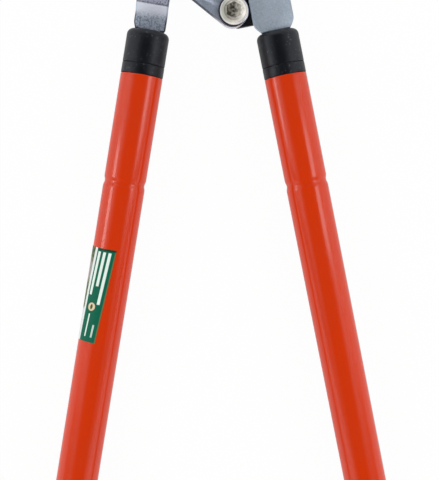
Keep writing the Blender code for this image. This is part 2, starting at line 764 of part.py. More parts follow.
def make_fasteners():
    pivot = upright_at("blade_pivot_axis", PIVOT)
    hub = upright_at("lever_hub_axis", HUB)
    make_bolt("pivot_bolt", pivot, PIVOT_HEAD_RADIUS, PIVOT_SHANK_RADIUS, -AXIS_HEIGHT)
    make_washer("pivot_washer", pivot, PIVOT_SHANK_RADIUS + GAP)
    make_nut("pivot_nut", pivot, PIVOT_NUT_FLATS, PIVOT_NUT_HEIGHT, PIVOT_SHANK_RADIUS)
    nut_bottom = LAYER_BOTTOM - WASHER_THICKNESS - 2 * GAP - HUB_NUT_HEIGHT
    make_bolt("lever_bolt", hub, HUB_HEAD_RADIUS, HUB_SHANK_RADIUS, nut_bottom - SHANK_PAST_NUT)
    make_washer("lever_washer", hub, HUB_SHANK_RADIUS + GAP)
    make_nut("lever_nut", hub, HUB_NUT_FLATS, HUB_NUT_HEIGHT, HUB_SHANK_RADIUS)
    for k, point in enumerate(lever_screw_points()):
        axis = upright_at(f"lever_screw_axis_{k + 1}", point)
        seat = LAYER_BOTTOM - GAP
        low = seat - SCREW_HEAD_HEIGHT
        tip = LAYER_BOTTOM + SCREW_DEPTH
        profile = [
            (0, tip),
            (SCREW_SHANK_RADIUS, tip),
            (SCREW_SHANK_RADIUS, seat),
            (SCREW_HEAD_RADIUS, seat),
            (SCREW_HEAD_RADIUS, low + SCREW_HEAD_HEIGHT / 2),
            (SCREW_FACE_RADIUS, low),
            (0, low),
        ]
        turned(f"lever_screw_{k + 1}", profile, BOLT_NICKEL, axis, 20)


# Handles


def handle_axis(name, turn, cap_top):
    """An empty at the top of the cap, its Z along the handle and its Y upwards."""
    along = Vector((sin(turn), -cos(turn)))
    empty = bpy.data.objects.new(name, None)
    start = along * cap_top
    empty.location = (start.x, start.y + APEX_Y, AXIS_HEIGHT)
    empty.rotation_euler = (pi / 2, 0, turn)
    PARTS.objects.link(empty)
    return empty


def tube_profile(outer, inner, top, end):
    """A plain tube. Its outer side runs from the far end back to the top."""
    return [(outer, end), (outer, top), (inner, top), (inner, end)]


def make_cap(side, axis):
    bore = INNER_TUBE_RADIUS + GAP
    shoulder = []
    for k in range(CAP_SHOULDER_STEPS + 1):
        angle = pi / 2 * k / CAP_SHOULDER_STEPS
        radius = CAP_RADIUS - CAP_SHOULDER * (1 - cos(angle))
        shoulder.append((radius, CAP_SHOULDER * (1 - sin(angle))))
    inside = [(0, CAP_ROOF), (bore, CAP_ROOF), (bore, CAP_LENGTH)]
    profile = inside + [(CAP_RADIUS, CAP_LENGTH)] + shoulder + [(0, 0)]
    cap = turned(f"{side}_cap", profile, CAP_BLACK, axis)
    width = TANG_WIDTH + 2 * GAP
    height = TANG_THICKNESS + 2 * GAP
    slot = box_cutter(f"{side}_cap_slot", width, height, CAP_ROOF + 2 * CUT_PAST, axis, -CUT_PAST)
    cut(cap, slot)


def crimped(radius):
    """The rolled groove on a wall of this radius, from its far end back to its near end."""
    points = []
    for k in range(CRIMP_STEPS + 1):
        share = 1 - k / CRIMP_STEPS
        depth = CRIMP_DEPTH * sin(pi * share) ** 2
        points.append((radius - depth, CRIMP_AT + CRIMP_LENGTH * (share - 0.5)))
    return points


def make_inner_tube(side, axis, pin_point):
    tube = turned(
        f"{side}_inner_tube",
        tube_profile(INNER_TUBE_RADIUS, INNER_BORE, INNER_TUBE_TOP, INNER_TUBE_END),
        TUBE_BRIGHT,
        axis,
    )
    drill(tube, pin_point, TANG_PIN_RADIUS + GAP, -INNER_TUBE_RADIUS, INNER_TUBE_RADIUS)
    pin_axis = upright_at(f"{side}_tang_pin_axis", pin_point)
    half = INNER_TUBE_RADIUS - GAP
    pin = [(0, half), (TANG_PIN_RADIUS, half), (TANG_PIN_RADIUS, -half), (0, -half)]
    turned(f"{side}_tang_pin", pin, BOLT_NICKEL, pin_axis, 16)


def make_twist_lock(side, axis):
    """A core fixed in the end of the inner tube, and a split sleeve that spreads on it."""
    plug = INNER_BORE - GAP
    core = [
        (0, CORE_END),
        (LOCK_STOP_RADIUS, CORE_END),
        (LOCK_STOP_RADIUS, SLEEVE_END + GAP),
        (LOCK_STUD_RADIUS, SLEEVE_END + GAP),
        (LOCK_STUD_RADIUS, SLEEVE_TOP - GAP),
        (INNER_TUBE_RADIUS, SLEEVE_TOP - GAP),
        (INNER_TUBE_RADIUS, INNER_TUBE_END + GAP),
        (plug, INNER_TUBE_END + GAP),
        (plug, INNER_TUBE_END - LOCK_PLUG_LENGTH),
        (0, INNER_TUBE_END - LOCK_PLUG_LENGTH),
    ]
    turned(f"{side}_lock_core", core, LOCK_NYLON, axis, 24)
    bore = LOCK_STUD_RADIUS + GAP
    split = tube_profile(BUSHING_RADIUS, bore, SLEEVE_TOP, SLEEVE_END)
    sleeve = turned(f"{side}_lock_sleeve", split, LOCK_NYLON, axis, 24)
    slit = box_cutter(
        f"{side}_sleeve_slit",
        LOCK_SLIT,
        BUSHING_RADIUS,
        LOCK_SLEEVE_LENGTH + 2 * CUT_PAST,
        axis,
        SLEEVE_TOP - CUT_PAST,
        BUSHING_RADIUS / 2 + CUT_PAST,
    )
    cut(sleeve, slit)


def make_guide_bushing(side, axis):
    """The black ring at the top of the outer tube, with its long bearing sleeve inside."""
    flange_end = RING_TOP + RING_LENGTH
    outside = [(BUSHING_RADIUS, BUSHING_END)] + crimped(BUSHING_RADIUS)
    outside += [(BUSHING_RADIUS, flange_end), (OUTER_TUBE_RADIUS, flange_end), (OUTER_TUBE_RADIUS, RING_TOP)]
    profile = outside + [(BUSHING_BORE, RING_TOP), (BUSHING_BORE, BUSHING_END)]
    turned(f"{side}_guide_bushing", profile, CAP_BLACK, axis)


def make_outer_tube(side, axis):
    outside = [(OUTER_TUBE_RADIUS, TUBE_END)] + crimped(OUTER_TUBE_RADIUS) + [(OUTER_TUBE_RADIUS, TUBE_TOP)]
    inside = [(OUTER_BORE, TUBE_TOP)] + crimped(OUTER_BORE)[::-1] + [(OUTER_BORE, TUBE_END)]
    turned(f"{side}_outer_tube", outside + inside, TUBE_ORANGE, axis)


def make_grip(side, axis):
    bore = OUTER_TUBE_RADIUS + GAP
    outside = []
    for k in range(GRIP_STEPS + 1):
        share = k / GRIP_STEPS
        swell = 0.5 - 0.5 * cos(2 * pi * min(share / GRIP_FLARE_START, 1.0))
        flare = max(0.0, (share - GRIP_FLARE_START) / (1 - GRIP_FLARE_START)) ** 2
        radius = GRIP_WAIST + GRIP_SWELL * swell + (GRIP_RADIUS - GRIP_WAIST) * flare
        outside.append((radius, GRIP_TOP + GRIP_LENGTH * share))
    profile = outside[::-1] + [(bore, GRIP_TOP), (bore, TUBE_END)]
    turned(f"{side}_grip", profile, GRIP_RUBBER, axis)
    flange = GRIP_RADIUS - END_CAP_INSET
    plug = OUTER_BORE - GAP
    end_cap = [
        (0, END_CAP_END),
        (flange - END_CAP_CHAMFER, END_CAP_END),
        (flange, END_CAP_END - END_CAP_CHAMFER),
        (flange, TUBE_END + GAP),
        (plug, TUBE_END + GAP),
        (plug, PLUG_TOP),
        (0, PLUG_TOP),
    ]
    turned(f"{side}_end_cap", end_cap, CAP_BLACK, axis)


def make_handle(side, turn, cap_top, pin_point):
    axis = handle_axis(f"{side}_handle_axis", turn, cap_top)
    make_cap(side, axis)
    make_inner_tube(side, axis, pin_point)
    make_twist_lock(side, axis)
    make_guide_bushing(side, axis)
    make_outer_tube(side, axis)
    make_grip(side, axis)


clear_scene()
PARTS = make_collection("telescopic_bypass_lopper")
CUTTERS = make_collection("cutters")
make_hook()
make_blade()
make_lever_plate()
make_lever_arm()
make_fasteners()
make_handle("left", -HANDLE_ANGLE, LEFT_CAP_TOP, LEFT_PIN)
make_handle("right", HANDLE_ANGLE, RIGHT_CAP_TOP, RIGHT_PIN)
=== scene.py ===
"""Dresses the solids of the telescopic bypass lopper for a picture.

Metres, in the frame of the solids: +Y towards the jaws, +X to the right and +Z up. A piece of
a handle is first made in that handle's own axes: Z runs from the top of the cap to the grip,
X runs across the handle towards +X, and Y is up.
"""

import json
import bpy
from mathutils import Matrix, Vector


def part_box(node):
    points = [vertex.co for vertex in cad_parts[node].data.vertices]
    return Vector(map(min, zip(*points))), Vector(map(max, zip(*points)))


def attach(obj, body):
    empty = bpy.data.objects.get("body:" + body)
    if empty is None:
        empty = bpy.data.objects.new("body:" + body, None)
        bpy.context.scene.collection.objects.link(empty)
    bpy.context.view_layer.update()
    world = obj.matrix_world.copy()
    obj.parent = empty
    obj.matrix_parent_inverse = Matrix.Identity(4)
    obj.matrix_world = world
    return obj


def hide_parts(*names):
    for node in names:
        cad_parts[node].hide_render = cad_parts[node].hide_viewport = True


bl_info = {
    "name": "Telescopic Bypass Lopper",
    "version": (1, 0, 0),
    "blender": (4, 5, 0),
    "location": "3D View > Sidebar > Lopper",
    "description": "Finished pieces, materials and studio for a telescopic bypass lopper",
    "category": "Object",
}

from functools import cache
from math import cos, hypot, pi, radians, sin
from types import SimpleNamespace

import bmesh
import bpy
from bpy.props import FloatProperty, FloatVectorProperty, IntProperty, PointerProperty
from mathutils import Matrix, Vector

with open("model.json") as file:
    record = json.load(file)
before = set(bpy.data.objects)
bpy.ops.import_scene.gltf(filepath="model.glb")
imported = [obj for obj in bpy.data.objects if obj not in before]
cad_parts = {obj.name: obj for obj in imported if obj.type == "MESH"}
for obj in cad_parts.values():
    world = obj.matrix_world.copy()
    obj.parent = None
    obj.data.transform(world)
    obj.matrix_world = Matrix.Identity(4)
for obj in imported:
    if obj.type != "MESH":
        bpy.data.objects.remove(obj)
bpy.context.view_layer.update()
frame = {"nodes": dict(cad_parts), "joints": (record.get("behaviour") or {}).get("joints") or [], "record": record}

SIDES = 96
TINY = 1e-6
MERGE = 2e-6
GAP = 0.0003
EASE = 0.0003
PAST = 0.001
SMOOTH_ANGLE = radians(32)
PLATE_ANGLE = radians(40)
SHARP_ANGLE = radians(30)
CUT_EDGE_SLOPE = 0.5
HAND_SIDES = ("left", "right")

RECORD = frame["record"]
JOINTS = {joint["name"]: joint for joint in frame["joints"]}
BODY_OF = {node: body for body, nodes in RECORD["behaviour"]["bodies"].items() for node in nodes}


def handle_place(side):
    """The handle's own axes, with their origin at the top of its cap."""
    joint = JOINTS[f"{side}_twist"]
    along = Vector(joint["axis"]).normalized()
    up = Vector((0, 0, 1))
    place = Matrix((up.cross(along), up, along)).transposed().to_4x4()
    place.translation = Vector(joint["pos_m"])
    return place


def upright_place(joint_name):
    x, y, _ = JOINTS[joint_name]["pos_m"]
    return Matrix.Translation((x, y, 0))


def reach(node, place):
    """A node's least and greatest Z in a place's axes, and its greatest radius about that Z."""
    inverse = place.inverted()
    points = [inverse @ vert.co for vert in frame["nodes"][node].data.vertices]
    heights = [point.z for point in points]
    return min(heights), max(heights), max(hypot(point.x, point.y) for point in points)


PLACES = {side: handle_place(side) for side in HAND_SIDES}
PIVOT_PLACE = upright_place("blade_hinge")
HUB_PLACE = upright_place("lever_hinge")
AXLES = (("pivot", PIVOT_PLACE, 0.0050), ("lever", HUB_PLACE, 0.0045))
_, CAP_END, CAP_RADIUS = reach("left_cap", PLACES["left"])
RING_TOP, BUSHING_END, RING_RADIUS = reach("left_guide_bushing", PLACES["left"])
TUBE_TOP, TUBE_END, TUBE_RADIUS = reach("left_outer_tube", PLACES["left"])
INNER_TOP, INNER_END, INNER_RADIUS = reach("left_inner_tube", PLACES["left"])
GRIP_TOP, GRIP_END, GRIP_RADIUS = reach("left_grip", PLACES["left"])
PLUG_TOP, END_CAP_END, END_CAP_RADIUS = reach("left_end_cap", PLACES["left"])


# Sizes and colours that a user would change


def length(name, description, default):
    return FloatProperty(name=name, description=description, default=default, unit="LENGTH", precision=5)


def angle(name, description, degrees):
    return FloatProperty(name=name, description=description, default=radians(degrees), unit="ROTATION")


def share(name, description, default):
    return FloatProperty(name=name, description=description, default=default, min=0, subtype="FACTOR")


def colour(name, description, default):
    return FloatVectorProperty(
        name=name, description=description, default=default, min=0, max=1, size=3, subtype="COLOR"
    )


class LopperHandleSizes(bpy.types.PropertyGroup):
    tube_radius: length("Tube radius", "Outer radius of the orange tube", TUBE_RADIUS)
    tube_wall: length("Tube wall", "Thickness of the tubes' walls", 0.0012)
    tube_lip: length("Tube lip", "Rounding of the orange tube's ends", 0.0005)
    groove_place: length("Groove place", "From the top of the cap to the middle of the rolled groove", 0.1016)
    groove_length: length("Groove length", "Length of the rolled groove along the tube", 0.0070)
    groove_depth: length("Groove depth", "Depth of the rolled groove", 0.0007)
    cap_shoulder: length("Cap shoulder", "Rounding of the cap's upper rim", 0.0040)
    cap_roof: length("Cap roof", "Thickness of the cap's top", 0.0050)
    ring_length: length("Ring length", "Length of the black ring below the cap", TUBE_TOP - RING_TOP - GAP)
    rib_count: IntProperty(name="Ribs", description="Raised ribs on each grip", default=26, min=0)
    rib_spacing: length("Rib spacing", "From one rib of the grip to the next", 0.0031)
    rib_size: length("Rib size", "Half thickness of a rib", 0.0007)


class LopperHeadSizes(bpy.types.PropertyGroup):
    plate_rounding: length("Plate rounding", "Rounding of the plates' edges", 0.0004)
    hook_rounding: length("Hook rounding", "Rounding of the hook's and its arm's edges", 0.0008)
    recess_radius: length("Recess radius", "Size of the bolts' recess, before its mouth widens", 0.0066)
    recess_depth: length("Recess depth", "Depth of the recess from the top of the dome", 0.0034)
    recess_taper: share("Recess taper", "Share of the recess's size that is left at its bottom", 0.40)
    joggle_start: length("Joggle start", "From the left cap up to the top of the arm's bend", 0.0167)
    joggle_length: length("Joggle length", "Length of the arm's bend", 0.0078)
    dome: length("Dome", "Height of the bolt heads", 0.0050)
    rim: length("Rim", "Height of the straight rim of the bolt heads", 0.0012)


class LopperLabelSizes(bpy.types.PropertyGroup):
    top: length("Top", "From the top of the cap to the label's upper edge", 0.1461)
    bottom: length("Bottom", "From the top of the cap to the label's lower edge", 0.2090)
    edge: angle("Edge", "Where the label's right edge starts, round the tube from the top", 13.8)
    skew: angle("Skew", "How far the label winds round the tube along its length", -19.4)
    width: angle("Width", "How far the label reaches round the tube", 150)


class LopperColours(bpy.types.PropertyGroup):
    coat: colour("Coat", "Powder coat of the outer tubes", (0.660, 0.036, 0.0005))
    moulding: colour("Moulding", "Black plastic of the caps and rings", (0.0035, 0.0042, 0.0058))
    grip: colour("Grip", "Rubber of the grips", (0.014, 0.014, 0.015))
    steel: colour("Steel", "Plated steel of the hook and the left arm", (0.420, 0.500, 0.600))
    steel_tint: colour("Steel tint", "Mauve patches in the plating", (0.690, 0.665, 0.850))
    blade: colour("Blade", "Ground steel of the blade", (0.560, 0.570, 0.590))
    cast: colour("Cast", "Cast metal of the right arm", (0.372, 0.442, 0.518))
    oxide: colour("Oxide", "Black plate between the arm and the bolt", (0.012, 0.013, 0.015))
    nickel: colour("Nickel", "Plating of the bolts and nuts", (0.860, 0.835, 0.765))
    drawn: colour("Drawn", "Inner tubes and washers", (0.660, 0.670, 0.690))
    nylon: colour("Nylon", "Twist locks", (0.620, 0.610, 0.560))
    label: colour("Label", "Green panel of the label", (0.000, 0.130, 0.072))


class LopperStudioSettings(bpy.types.PropertyGroup):
    floor_white: share("Floor white", "Share of plain white in the floor, where the rest takes shadow", 0.97)
    room_light: share("Room light", "Strength of the white room on matt surfaces", 0.61)
    panel_light: share("Panel light", "Brightness of the soft lights at the sides", 1.22)
    strip_light: share("Strip light", "Brightness of the two narrow lights in the reflections", 3.8)
    near_veil: share("Near veil", "How dark the room's near side is in reflections", 0.6)
    floor_gloss: share("Floor gloss", "How white the floor is in reflections", 0.3)


def settings():
    return bpy.context.scene.lopper


# Node trees


class Term:
    """A value in a node tree, with the arithmetic that math nodes do."""

    def __init__(self, tree, socket):
        self.tree = tree
        self.socket = socket

    def step(self, operation, *others):
        inputs = dict(enumerate((self, *others)))
        return made(self.tree, "ShaderNodeMath", inputs, operation=operation)

    def __add__(self, other):
        return self.step("ADD", other)

    def __sub__(self, other):
        return self.step("SUBTRACT", other)

    def __rsub__(self, other):
        return self.step("MULTIPLY", -1).step("ADD", other)

    def __mul__(self, other):
        return self.step("MULTIPLY", other)

    def __truediv__(self, other):
        return self.step("DIVIDE", other)

    __radd__ = __add__
    __rmul__ = __mul__

    def clamped(self):
        return self.step("MINIMUM", 1).step("MAXIMUM", 0)


def wire(tree, source, socket):
    """Joins a socket or term to a socket, or sets the socket to a plain value."""
    if isinstance(source, Term):
        source = source.socket
    if isinstance(source, bpy.types.NodeSocket):
        tree.links.new(source, socket)
    elif socket.type == "RGBA":
        socket.default_value = (*source, 1)
    else:
        socket.default_value = source


def add(tree, kind, inputs=None, **options):
    """A new node with these options, and its named or numbered inputs wired."""
    node = tree.nodes.new(kind)
    for name, value in options.items():
        setattr(node, name, value)
    for name, source in (inputs or {}).items():
        wire(tree, source, node.inputs[name])
    return node


def made(tree, kind, inputs=None, output=0, **options):
    """What one output of such a new node gives."""
    return Term(tree, add(tree, kind, inputs, **options).outputs[output])


def axes(tree, vector):
    """The X, Y and Z of a vector."""
    return [Term(tree, output) for output in add(tree, "ShaderNodeSeparateXYZ", {0: vector}).outputs]


def joined(tree, x=0, y=0, z=0):
    """A vector of this X, Y and Z."""
    return made(tree, "ShaderNodeCombineXYZ", {0: x, 1: y, 2: z})


def diagonal(across, along):
    return (across * across + along * along).step("SQRT")


def node_group(name, kind, inputs, outputs):
    """A new node group, its inputs as terms, and its output node."""
    tree = bpy.data.node_groups.new(name, kind)
    for label, socket_type, default in inputs:
        socket = tree.interface.new_socket(label, in_out="INPUT", socket_type=f"NodeSocket{socket_type}")
        if default is not None:
            socket.default_value = default
    for label, socket_type in outputs:
        tree.interface.new_socket(label, in_out="OUTPUT", socket_type=f"NodeSocket{socket_type}")
    given = tree.nodes.new("NodeGroupInput")
    result = tree.nodes.new("NodeGroupOutput")
    return tree, {label: Term(tree, given.outputs[label]) for label, _, _ in inputs}, result


# Meshes


def new_object(name, mesh):
    obj = bpy.data.objects.new(name, mesh)
    bpy.context.scene.collection.objects.link(obj)
    return obj


def object_from(name, bm):
    """A new object with the mesh under way, which ends here."""
    mesh = bpy.data.meshes.new(name)
    bm.to_mesh(mesh)
    bm.free()
    return new_object(name, mesh)


def applied(obj):
    """The object with what its modifiers make as its plain mesh."""
    graph = bpy.context.evaluated_depsgraph_get()
    result = bpy.data.meshes.new_from_object(obj.evaluated_get(graph))
    obj.modifiers.clear()
    plain = obj.data
    obj.data = result
    bpy.data.meshes.remove(plain)
    return obj


def smoothed(obj, limit=SMOOTH_ANGLE):
    obj.data.shade_smooth()
    obj.data.set_sharp_from_angle(angle=limit)
    return obj


def painted(obj, *materials):
    """The object with these materials. Where there are several, its faces keep their slots."""
    slots = [face.material_index for face in obj.data.polygons]
    obj.data.materials.clear()
    for one in materials:
        obj.data.materials.append(one)
    if len(materials) > 1:
        obj.data.polygons.foreach_set("material_index", slots)
    return obj


def stand_in(obj, nodes, makers=(), place=None):
    """Puts the piece in its place with its finishes. It rides with these solids, and is shown
    in their place."""
    if place is not None:
        obj.data.transform(place)
    if makers:
        painted(obj, *map(material, makers))
    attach(obj, BODY_OF[nodes[0]])
    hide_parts(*nodes)


def rounded(corners, steps=4):
    """A profile through (radius, along, rounding) corners, with each corner eased."""
    profile = []
    last = len(corners) - 1
    for k, (radius, along, rounding) in enumerate(corners):
        corner = Vector((radius, along))
        if rounding == 0 or k in (0, last):
            profile.append(corner)
            continue
        back = Vector(corners[k - 1][:2]) - corner
        ahead = Vector(corners[k + 1][:2]) - corner
        start = corner + back * min(rounding / back.length, 0.49)
        end = corner + ahead * min(rounding / ahead.length, 0.49)
        for j in range(steps + 1):
            t = j / steps
            profile.append(start * (1 - t) ** 2 + corner * 2 * t * (1 - t) + end * t**2)
    return [(point.x, point.y) for point in profile]


def turned(name, profile, sides=SIDES):
    """A piece turned about Z from (radius, along) points, closed where it has a bore.
    Its UV map holds the distance round the outside and along the profile, in metres."""
    bm = bmesh.new()
    uv_map = bm.loops.layers.uv.new("around_along")
    turns = [2 * pi * k / sides for k in range(sides)]
    radii = [radius for radius, _ in profile]
    widest = max(radii)
    rings = []
    for radius, along in profile:
        if radius < TINY:
            rings.append([bm.verts.new((0, 0, along))] * sides)
        else:
            rings.append([bm.verts.new((radius * cos(turn), radius * sin(turn), along)) for turn in turns])
    distances = [0.0]
    for (radius, along), (next_radius, next_along) in zip(profile, profile[1:] + profile[:1]):
        distances.append(distances[-1] + hypot(next_radius - radius, next_along - along))
    if min(radii) > TINY:
        rings.append(rings[0])
    for ring, (near, far) in enumerate(zip(rings, rings[1:])):
        here, next_here = distances[ring : ring + 2]
        for k in range(sides):
            after = (k + 1) % sides
            corners = {
                near[k]: (k, here),
                far[k]: (k, next_here),
                far[after]: (k + 1, next_here),
                near[after]: (k + 1, here),
            }
            if len(corners) < 3:
                continue
            for loop in bm.faces.new(list(corners)).loops:
                around, distance = corners[loop.vert]
                loop[uv_map].uv = (around / sides * 2 * pi * widest, distance)
    bmesh.ops.recalc_face_normals(bm, faces=bm.faces)
    return smoothed(object_from(name, bm))


def prism(name, outline, bottom, top, taper=1.0):
    """A straight or tapered block through a flat outline, whose bottom is scaled by the taper."""
    bm = bmesh.new()
    low = [bm.verts.new((x * taper, y * taper, bottom)) for x, y in outline]
    high = [bm.verts.new((x, y, top)) for x, y in outline]
    bm.faces.new(high)
    bm.faces.new(low[::-1])
    for k in range(len(outline)):
        bm.faces.new((low[k - 1], low[k], high[k], high[k - 1]))
    return object_from(name, bm)


def rectangle(wide, tall):
    """An outline from its half width and half height."""
    return [(-wide, -tall), (wide, -tall), (wide, tall), (-wide, tall)]


def hexagon(radius, turn=0.0):
    return [(radius * cos(turn + pi / 3 * k), radius * sin(turn + pi / 3 * k)) for k in range(6)]


def carved(obj, cutter, operation="DIFFERENCE"):
    """The object after a Boolean with the cutter, which is removed."""
    modifier = obj.modifiers.new(cutter.name, "BOOLEAN")
    modifier.operation = operation
    modifier.solver = "EXACT"
    modifier.object = cutter
    applied(obj)
    cutter_mesh = cutter.data
    bpy.data.objects.remove(cutter)
    bpy.data.meshes.remove(cutter_mesh)
    return smoothed(obj)


def softened(obj, width, segments=2, limit=SHARP_ANGLE, rim_slot=0):
    """The object with its sharp edges rounded. The rounding takes the material in rim_slot."""
    bevel = obj.modifiers.new("rounding", "BEVEL")
    bevel.width = width
    bevel.segments = segments
    bevel.limit_method = "ANGLE"
    bevel.angle_limit = limit
    bevel.use_clamp_overlap = False
    bevel.material = rim_slot
    return smoothed(applied(obj), PLATE_ANGLE)


def refined(node, width, segments=2, limit=SHARP_ANGLE):
    """A welded copy of a solid, with flat faces whole again and its sharp edges rounded. The
    roundings and cut edges take its second material."""
    bm = bmesh.new()
    bm.from_mesh(frame["nodes"][node].data)
    bmesh.ops.remove_doubles(bm, verts=bm.verts, dist=MERGE)
    bmesh.ops.dissolve_limit(bm, angle_limit=radians(0.6), verts=bm.verts, edges=bm.edges)
    obj = object_from(f"{node}_refined", bm)
    if width:
        obj.data.materials.append(None)
        obj.data.materials.append(None)
        softened(obj, width, segments, limit, 1)
        for face in obj.data.polygons:
            if abs(face.normal.z) < CUT_EDGE_SLOPE:
                face.material_index = 1
    return smoothed(obj, PLATE_ANGLE)


def grown(name, tree, values):
    """The plain mesh object that a geometry tree makes from these named values."""
    obj = new_object(name, bpy.data.meshes.new(name))
    modifier = obj.modifiers.new(tree.name, "NODES")
    modifier.node_group = tree
    for item in tree.interface.items_tree:
        if item.in_out == "INPUT":
            modifier[item.identifier] = values[item.name]
    return smoothed(applied(obj))


# Geometry trees


def geometry_tree(name, numbers, others):
    """A new geometry tree with these inputs and a material, its inputs as terms, and its end."""
    inputs = [(label, "Float", 0.0) for label in numbers] + others + [("Material", "Material", None)]
    return node_group(name, "GeometryNodeTree", inputs, [("Geometry", "Geometry")])


def end_tree(tree, given, result, geometry):
    """The finished tree, which ends in plain geometry with its material."""
    real = made(tree, "GeometryNodeRealizeInstances", {"Geometry": geometry})
    shown = made(tree, "GeometryNodeSetMaterial", {"Geometry": real, "Material": given["Material"]})
    wire(tree, shown, result.inputs["Geometry"])
    return tree


def rolled_tube_tree():
    """A tube with both walls, rounded outer lips and a rolled groove.

    Each column of the grid follows the wall once round: down the outside in five spans, over
    the end, back up the bore in three, and over the top."""
    names = ("Radius", "Wall", "Lip", "Start", "End", "Groove Start", "Groove Length", "Groove Depth")
    tree, given, result = geometry_tree("rolled_tube", names, [("Sides", "Int", SIDES), ("Rows", "Int", 8)])
    radius, wall, lip, start, end, groove_start, groove_length, groove_depth = (given[name] for name in names)
    counts = {"Vertices X": given["Sides"] + 1, "Vertices Y": given["Rows"] * 10 + 1}
    grid = made(tree, "GeometryNodeMeshGrid", {"Size X": 1.0, "Size Y": 1.0, **counts})
    column, row, _ = axes(tree, made(tree, "GeometryNodeInputPosition"))
    turn = (column + 0.5) * (2 * pi)
    span = (row + 0.5) * 10
    before = groove_start - start - lip
    after = end - groove_start - groove_length - lip
    down = [lip, before, groove_length, after, lip]
    up = [(after + lip) * -1, groove_length * -1, (before + lip) * -1]
    along = start
    for k, step in enumerate(down + [None] + up):
        if step is not None:
            along = along + (span - k).clamped() * step
    inside = (span - 5).clamped() - (span - 9).clamped()
    roll = (((along - groove_start) / groove_length).clamped() * pi).step("SINE")
    ends = [(1 - distance / lip).clamped() for distance in (along - start, end - along)]
    eased = [lip * (1 - (1 - near * near).step("SQRT")) for near in ends]
    wide = radius - groove_depth * roll * roll - inside * wall - (1 - inside) * (eased[0] + eased[1])
    shape = joined(tree, wide * turn.step("COSINE"), wide * turn.step("SINE"), along)
    moved = made(tree, "GeometryNodeSetPosition", {"Geometry": grid, "Position": shape})
    welded = made(tree, "GeometryNodeMergeByDistance", {"Geometry": moved, "Distance": TINY})
    return end_tree(tree, given, result, welded)


def grip_ribs_tree():
    """Rings along Z that stand on the swell of a grip."""
    names = ("First", "Spacing", "Rib Size", "Top", "Length", "Waist", "Swell", "Swell Share")
    tree, given, result = geometry_tree("grip_ribs", names, [("Count", "Int", 20), ("Sides", "Int", SIDES)])
    first, spacing, rib_size, top, whole, waist, swell, swell_share = (given[name] for name in names)
    starts = {"Start Location": joined(tree, z=first), "Offset": joined(tree, z=spacing)}
    line = made(tree, "GeometryNodeMeshLine", {"Count": given["Count"], **starts})
    _, _, height = axes(tree, made(tree, "GeometryNodeInputPosition"))
    wave = (((height - top) / whole / swell_share).clamped() * (2 * pi)).step("COSINE")
    scale = (waist + swell * (0.5 - wave * 0.5)) / waist
    ring = made(tree, "GeometryNodeCurvePrimitiveCircle", {"Resolution": given["Sides"], "Radius": waist})
    section = made(tree, "GeometryNodeCurvePrimitiveCircle", {"Resolution": 10, "Radius": rib_size})
    rib = made(tree, "GeometryNodeCurveToMesh", {"Curve": ring, "Profile Curve": section})
    spread = {"Points": line, "Instance": rib, "Scale": joined(tree, scale, scale, 1.0)}
    return end_tree(tree, given, result, made(tree, "GeometryNodeInstanceOnPoints", spread))


def screws_tree():
    """The same screw at each vertex of a mesh."""
    inputs = [("Places", "Object", None), ("Screw", "Object", None)]
    tree, given, result = geometry_tree("lever_screws", (), inputs)
    places, screw = (
        made(tree, "GeometryNodeObjectInfo", {"Object": given[label]}, "Geometry") for label, _, _ in inputs
    )
    rows = made(tree, "GeometryNodeInstanceOnPoints", {"Points": places, "Instance": screw})
    return end_tree(tree, given, result, rows)


# Shader effects


def shader_effect(name, numbers, outputs, make):
    """The named shader group, made the first time that it is asked for."""
    tree = bpy.data.node_groups.get(name)
    if tree is None:
        inputs = [("Vector", "Vector", None)] + [(label, "Float", value) for label, value in numbers.items()]
        tree, given, result = node_group(name, "ShaderNodeTree", inputs, [(one, "Float") for one in outputs])
        for label, source in zip(outputs, make(tree, *given.values())):
            wire(tree, source, result.inputs[label])
    return tree


def noise(tree, vector, scale, detail=2.0, roughness=0.5):
    inputs = {"Vector": vector, "Scale": scale, "Detail": detail, "Roughness": roughness}
    return made(tree, "ShaderNodeTexNoise", inputs, "Fac")


def above(value, level, softness):
    """A mask that rises from 0 to 1 as the value passes the level."""
    return ((value - level) / softness + 0.5).clamped()


def between(value, low, high, softness):
    return above(value, low, softness) * (1 - above(value, high, softness))


def faded(value, outside, inside):
    """A mask that goes smoothly from 0 outside to 1 inside."""
    ramp = ((value - outside) / (inside - outside)).clamped()
    return ramp * ramp * (3 - ramp * 2)


def grain_effect():
    """Fine bumps with darker and lighter specks, such as on castings, plating and mouldings."""

    def make(tree, vector, scale, speckle):
        fine = noise(tree, vector, scale, 3.0, 0.6)
        broad = noise(tree, vector, scale * 0.21)
        dark = above(fine, 0.5 - speckle * 0.22, 0.10)
        light = above(fine, 0.5 + speckle * 0.22, 0.10)
        return fine * 0.7 + broad * 0.3, 1 - dark, light

    return shader_effect("surface_grain", {"Scale": 800.0, "Speckle": 0.5}, ("Height", "Dark", "Light"), make)


def scratches_effect():
    """Fine parallel lines along the Y of the vector, as grinding or drawing leaves them."""

    def make(tree, vector, density, stretch):
        x, y, z = axes(tree, vector)
        lined = joined(tree, x * density, y * density * stretch, z * density)
        fine = noise(tree, lined, 1.0, 3.0, 0.65)
        return fine, above(fine, 0.60, 0.12)

    return shader_effect("fine_scratches", {"Density": 1500.0, "Stretch": 0.04}, ("Height", "Lines"), make)


def smudge_effect():
    """Broad soft patches, for uneven gloss, plating and handling marks."""

    def make(tree, vector, scale):
        broad = noise(tree, vector, scale, 3.0, 0.55)
        spots = noise(tree, vector, scale * 7.0)
        return above(broad, 0.5, 0.35), above(spots, 0.66, 0.08) * above(broad, 0.48, 0.2)

    return shader_effect("handling_smudges", {"Scale": 60.0}, ("Patches", "Marks"), make)


# Materials

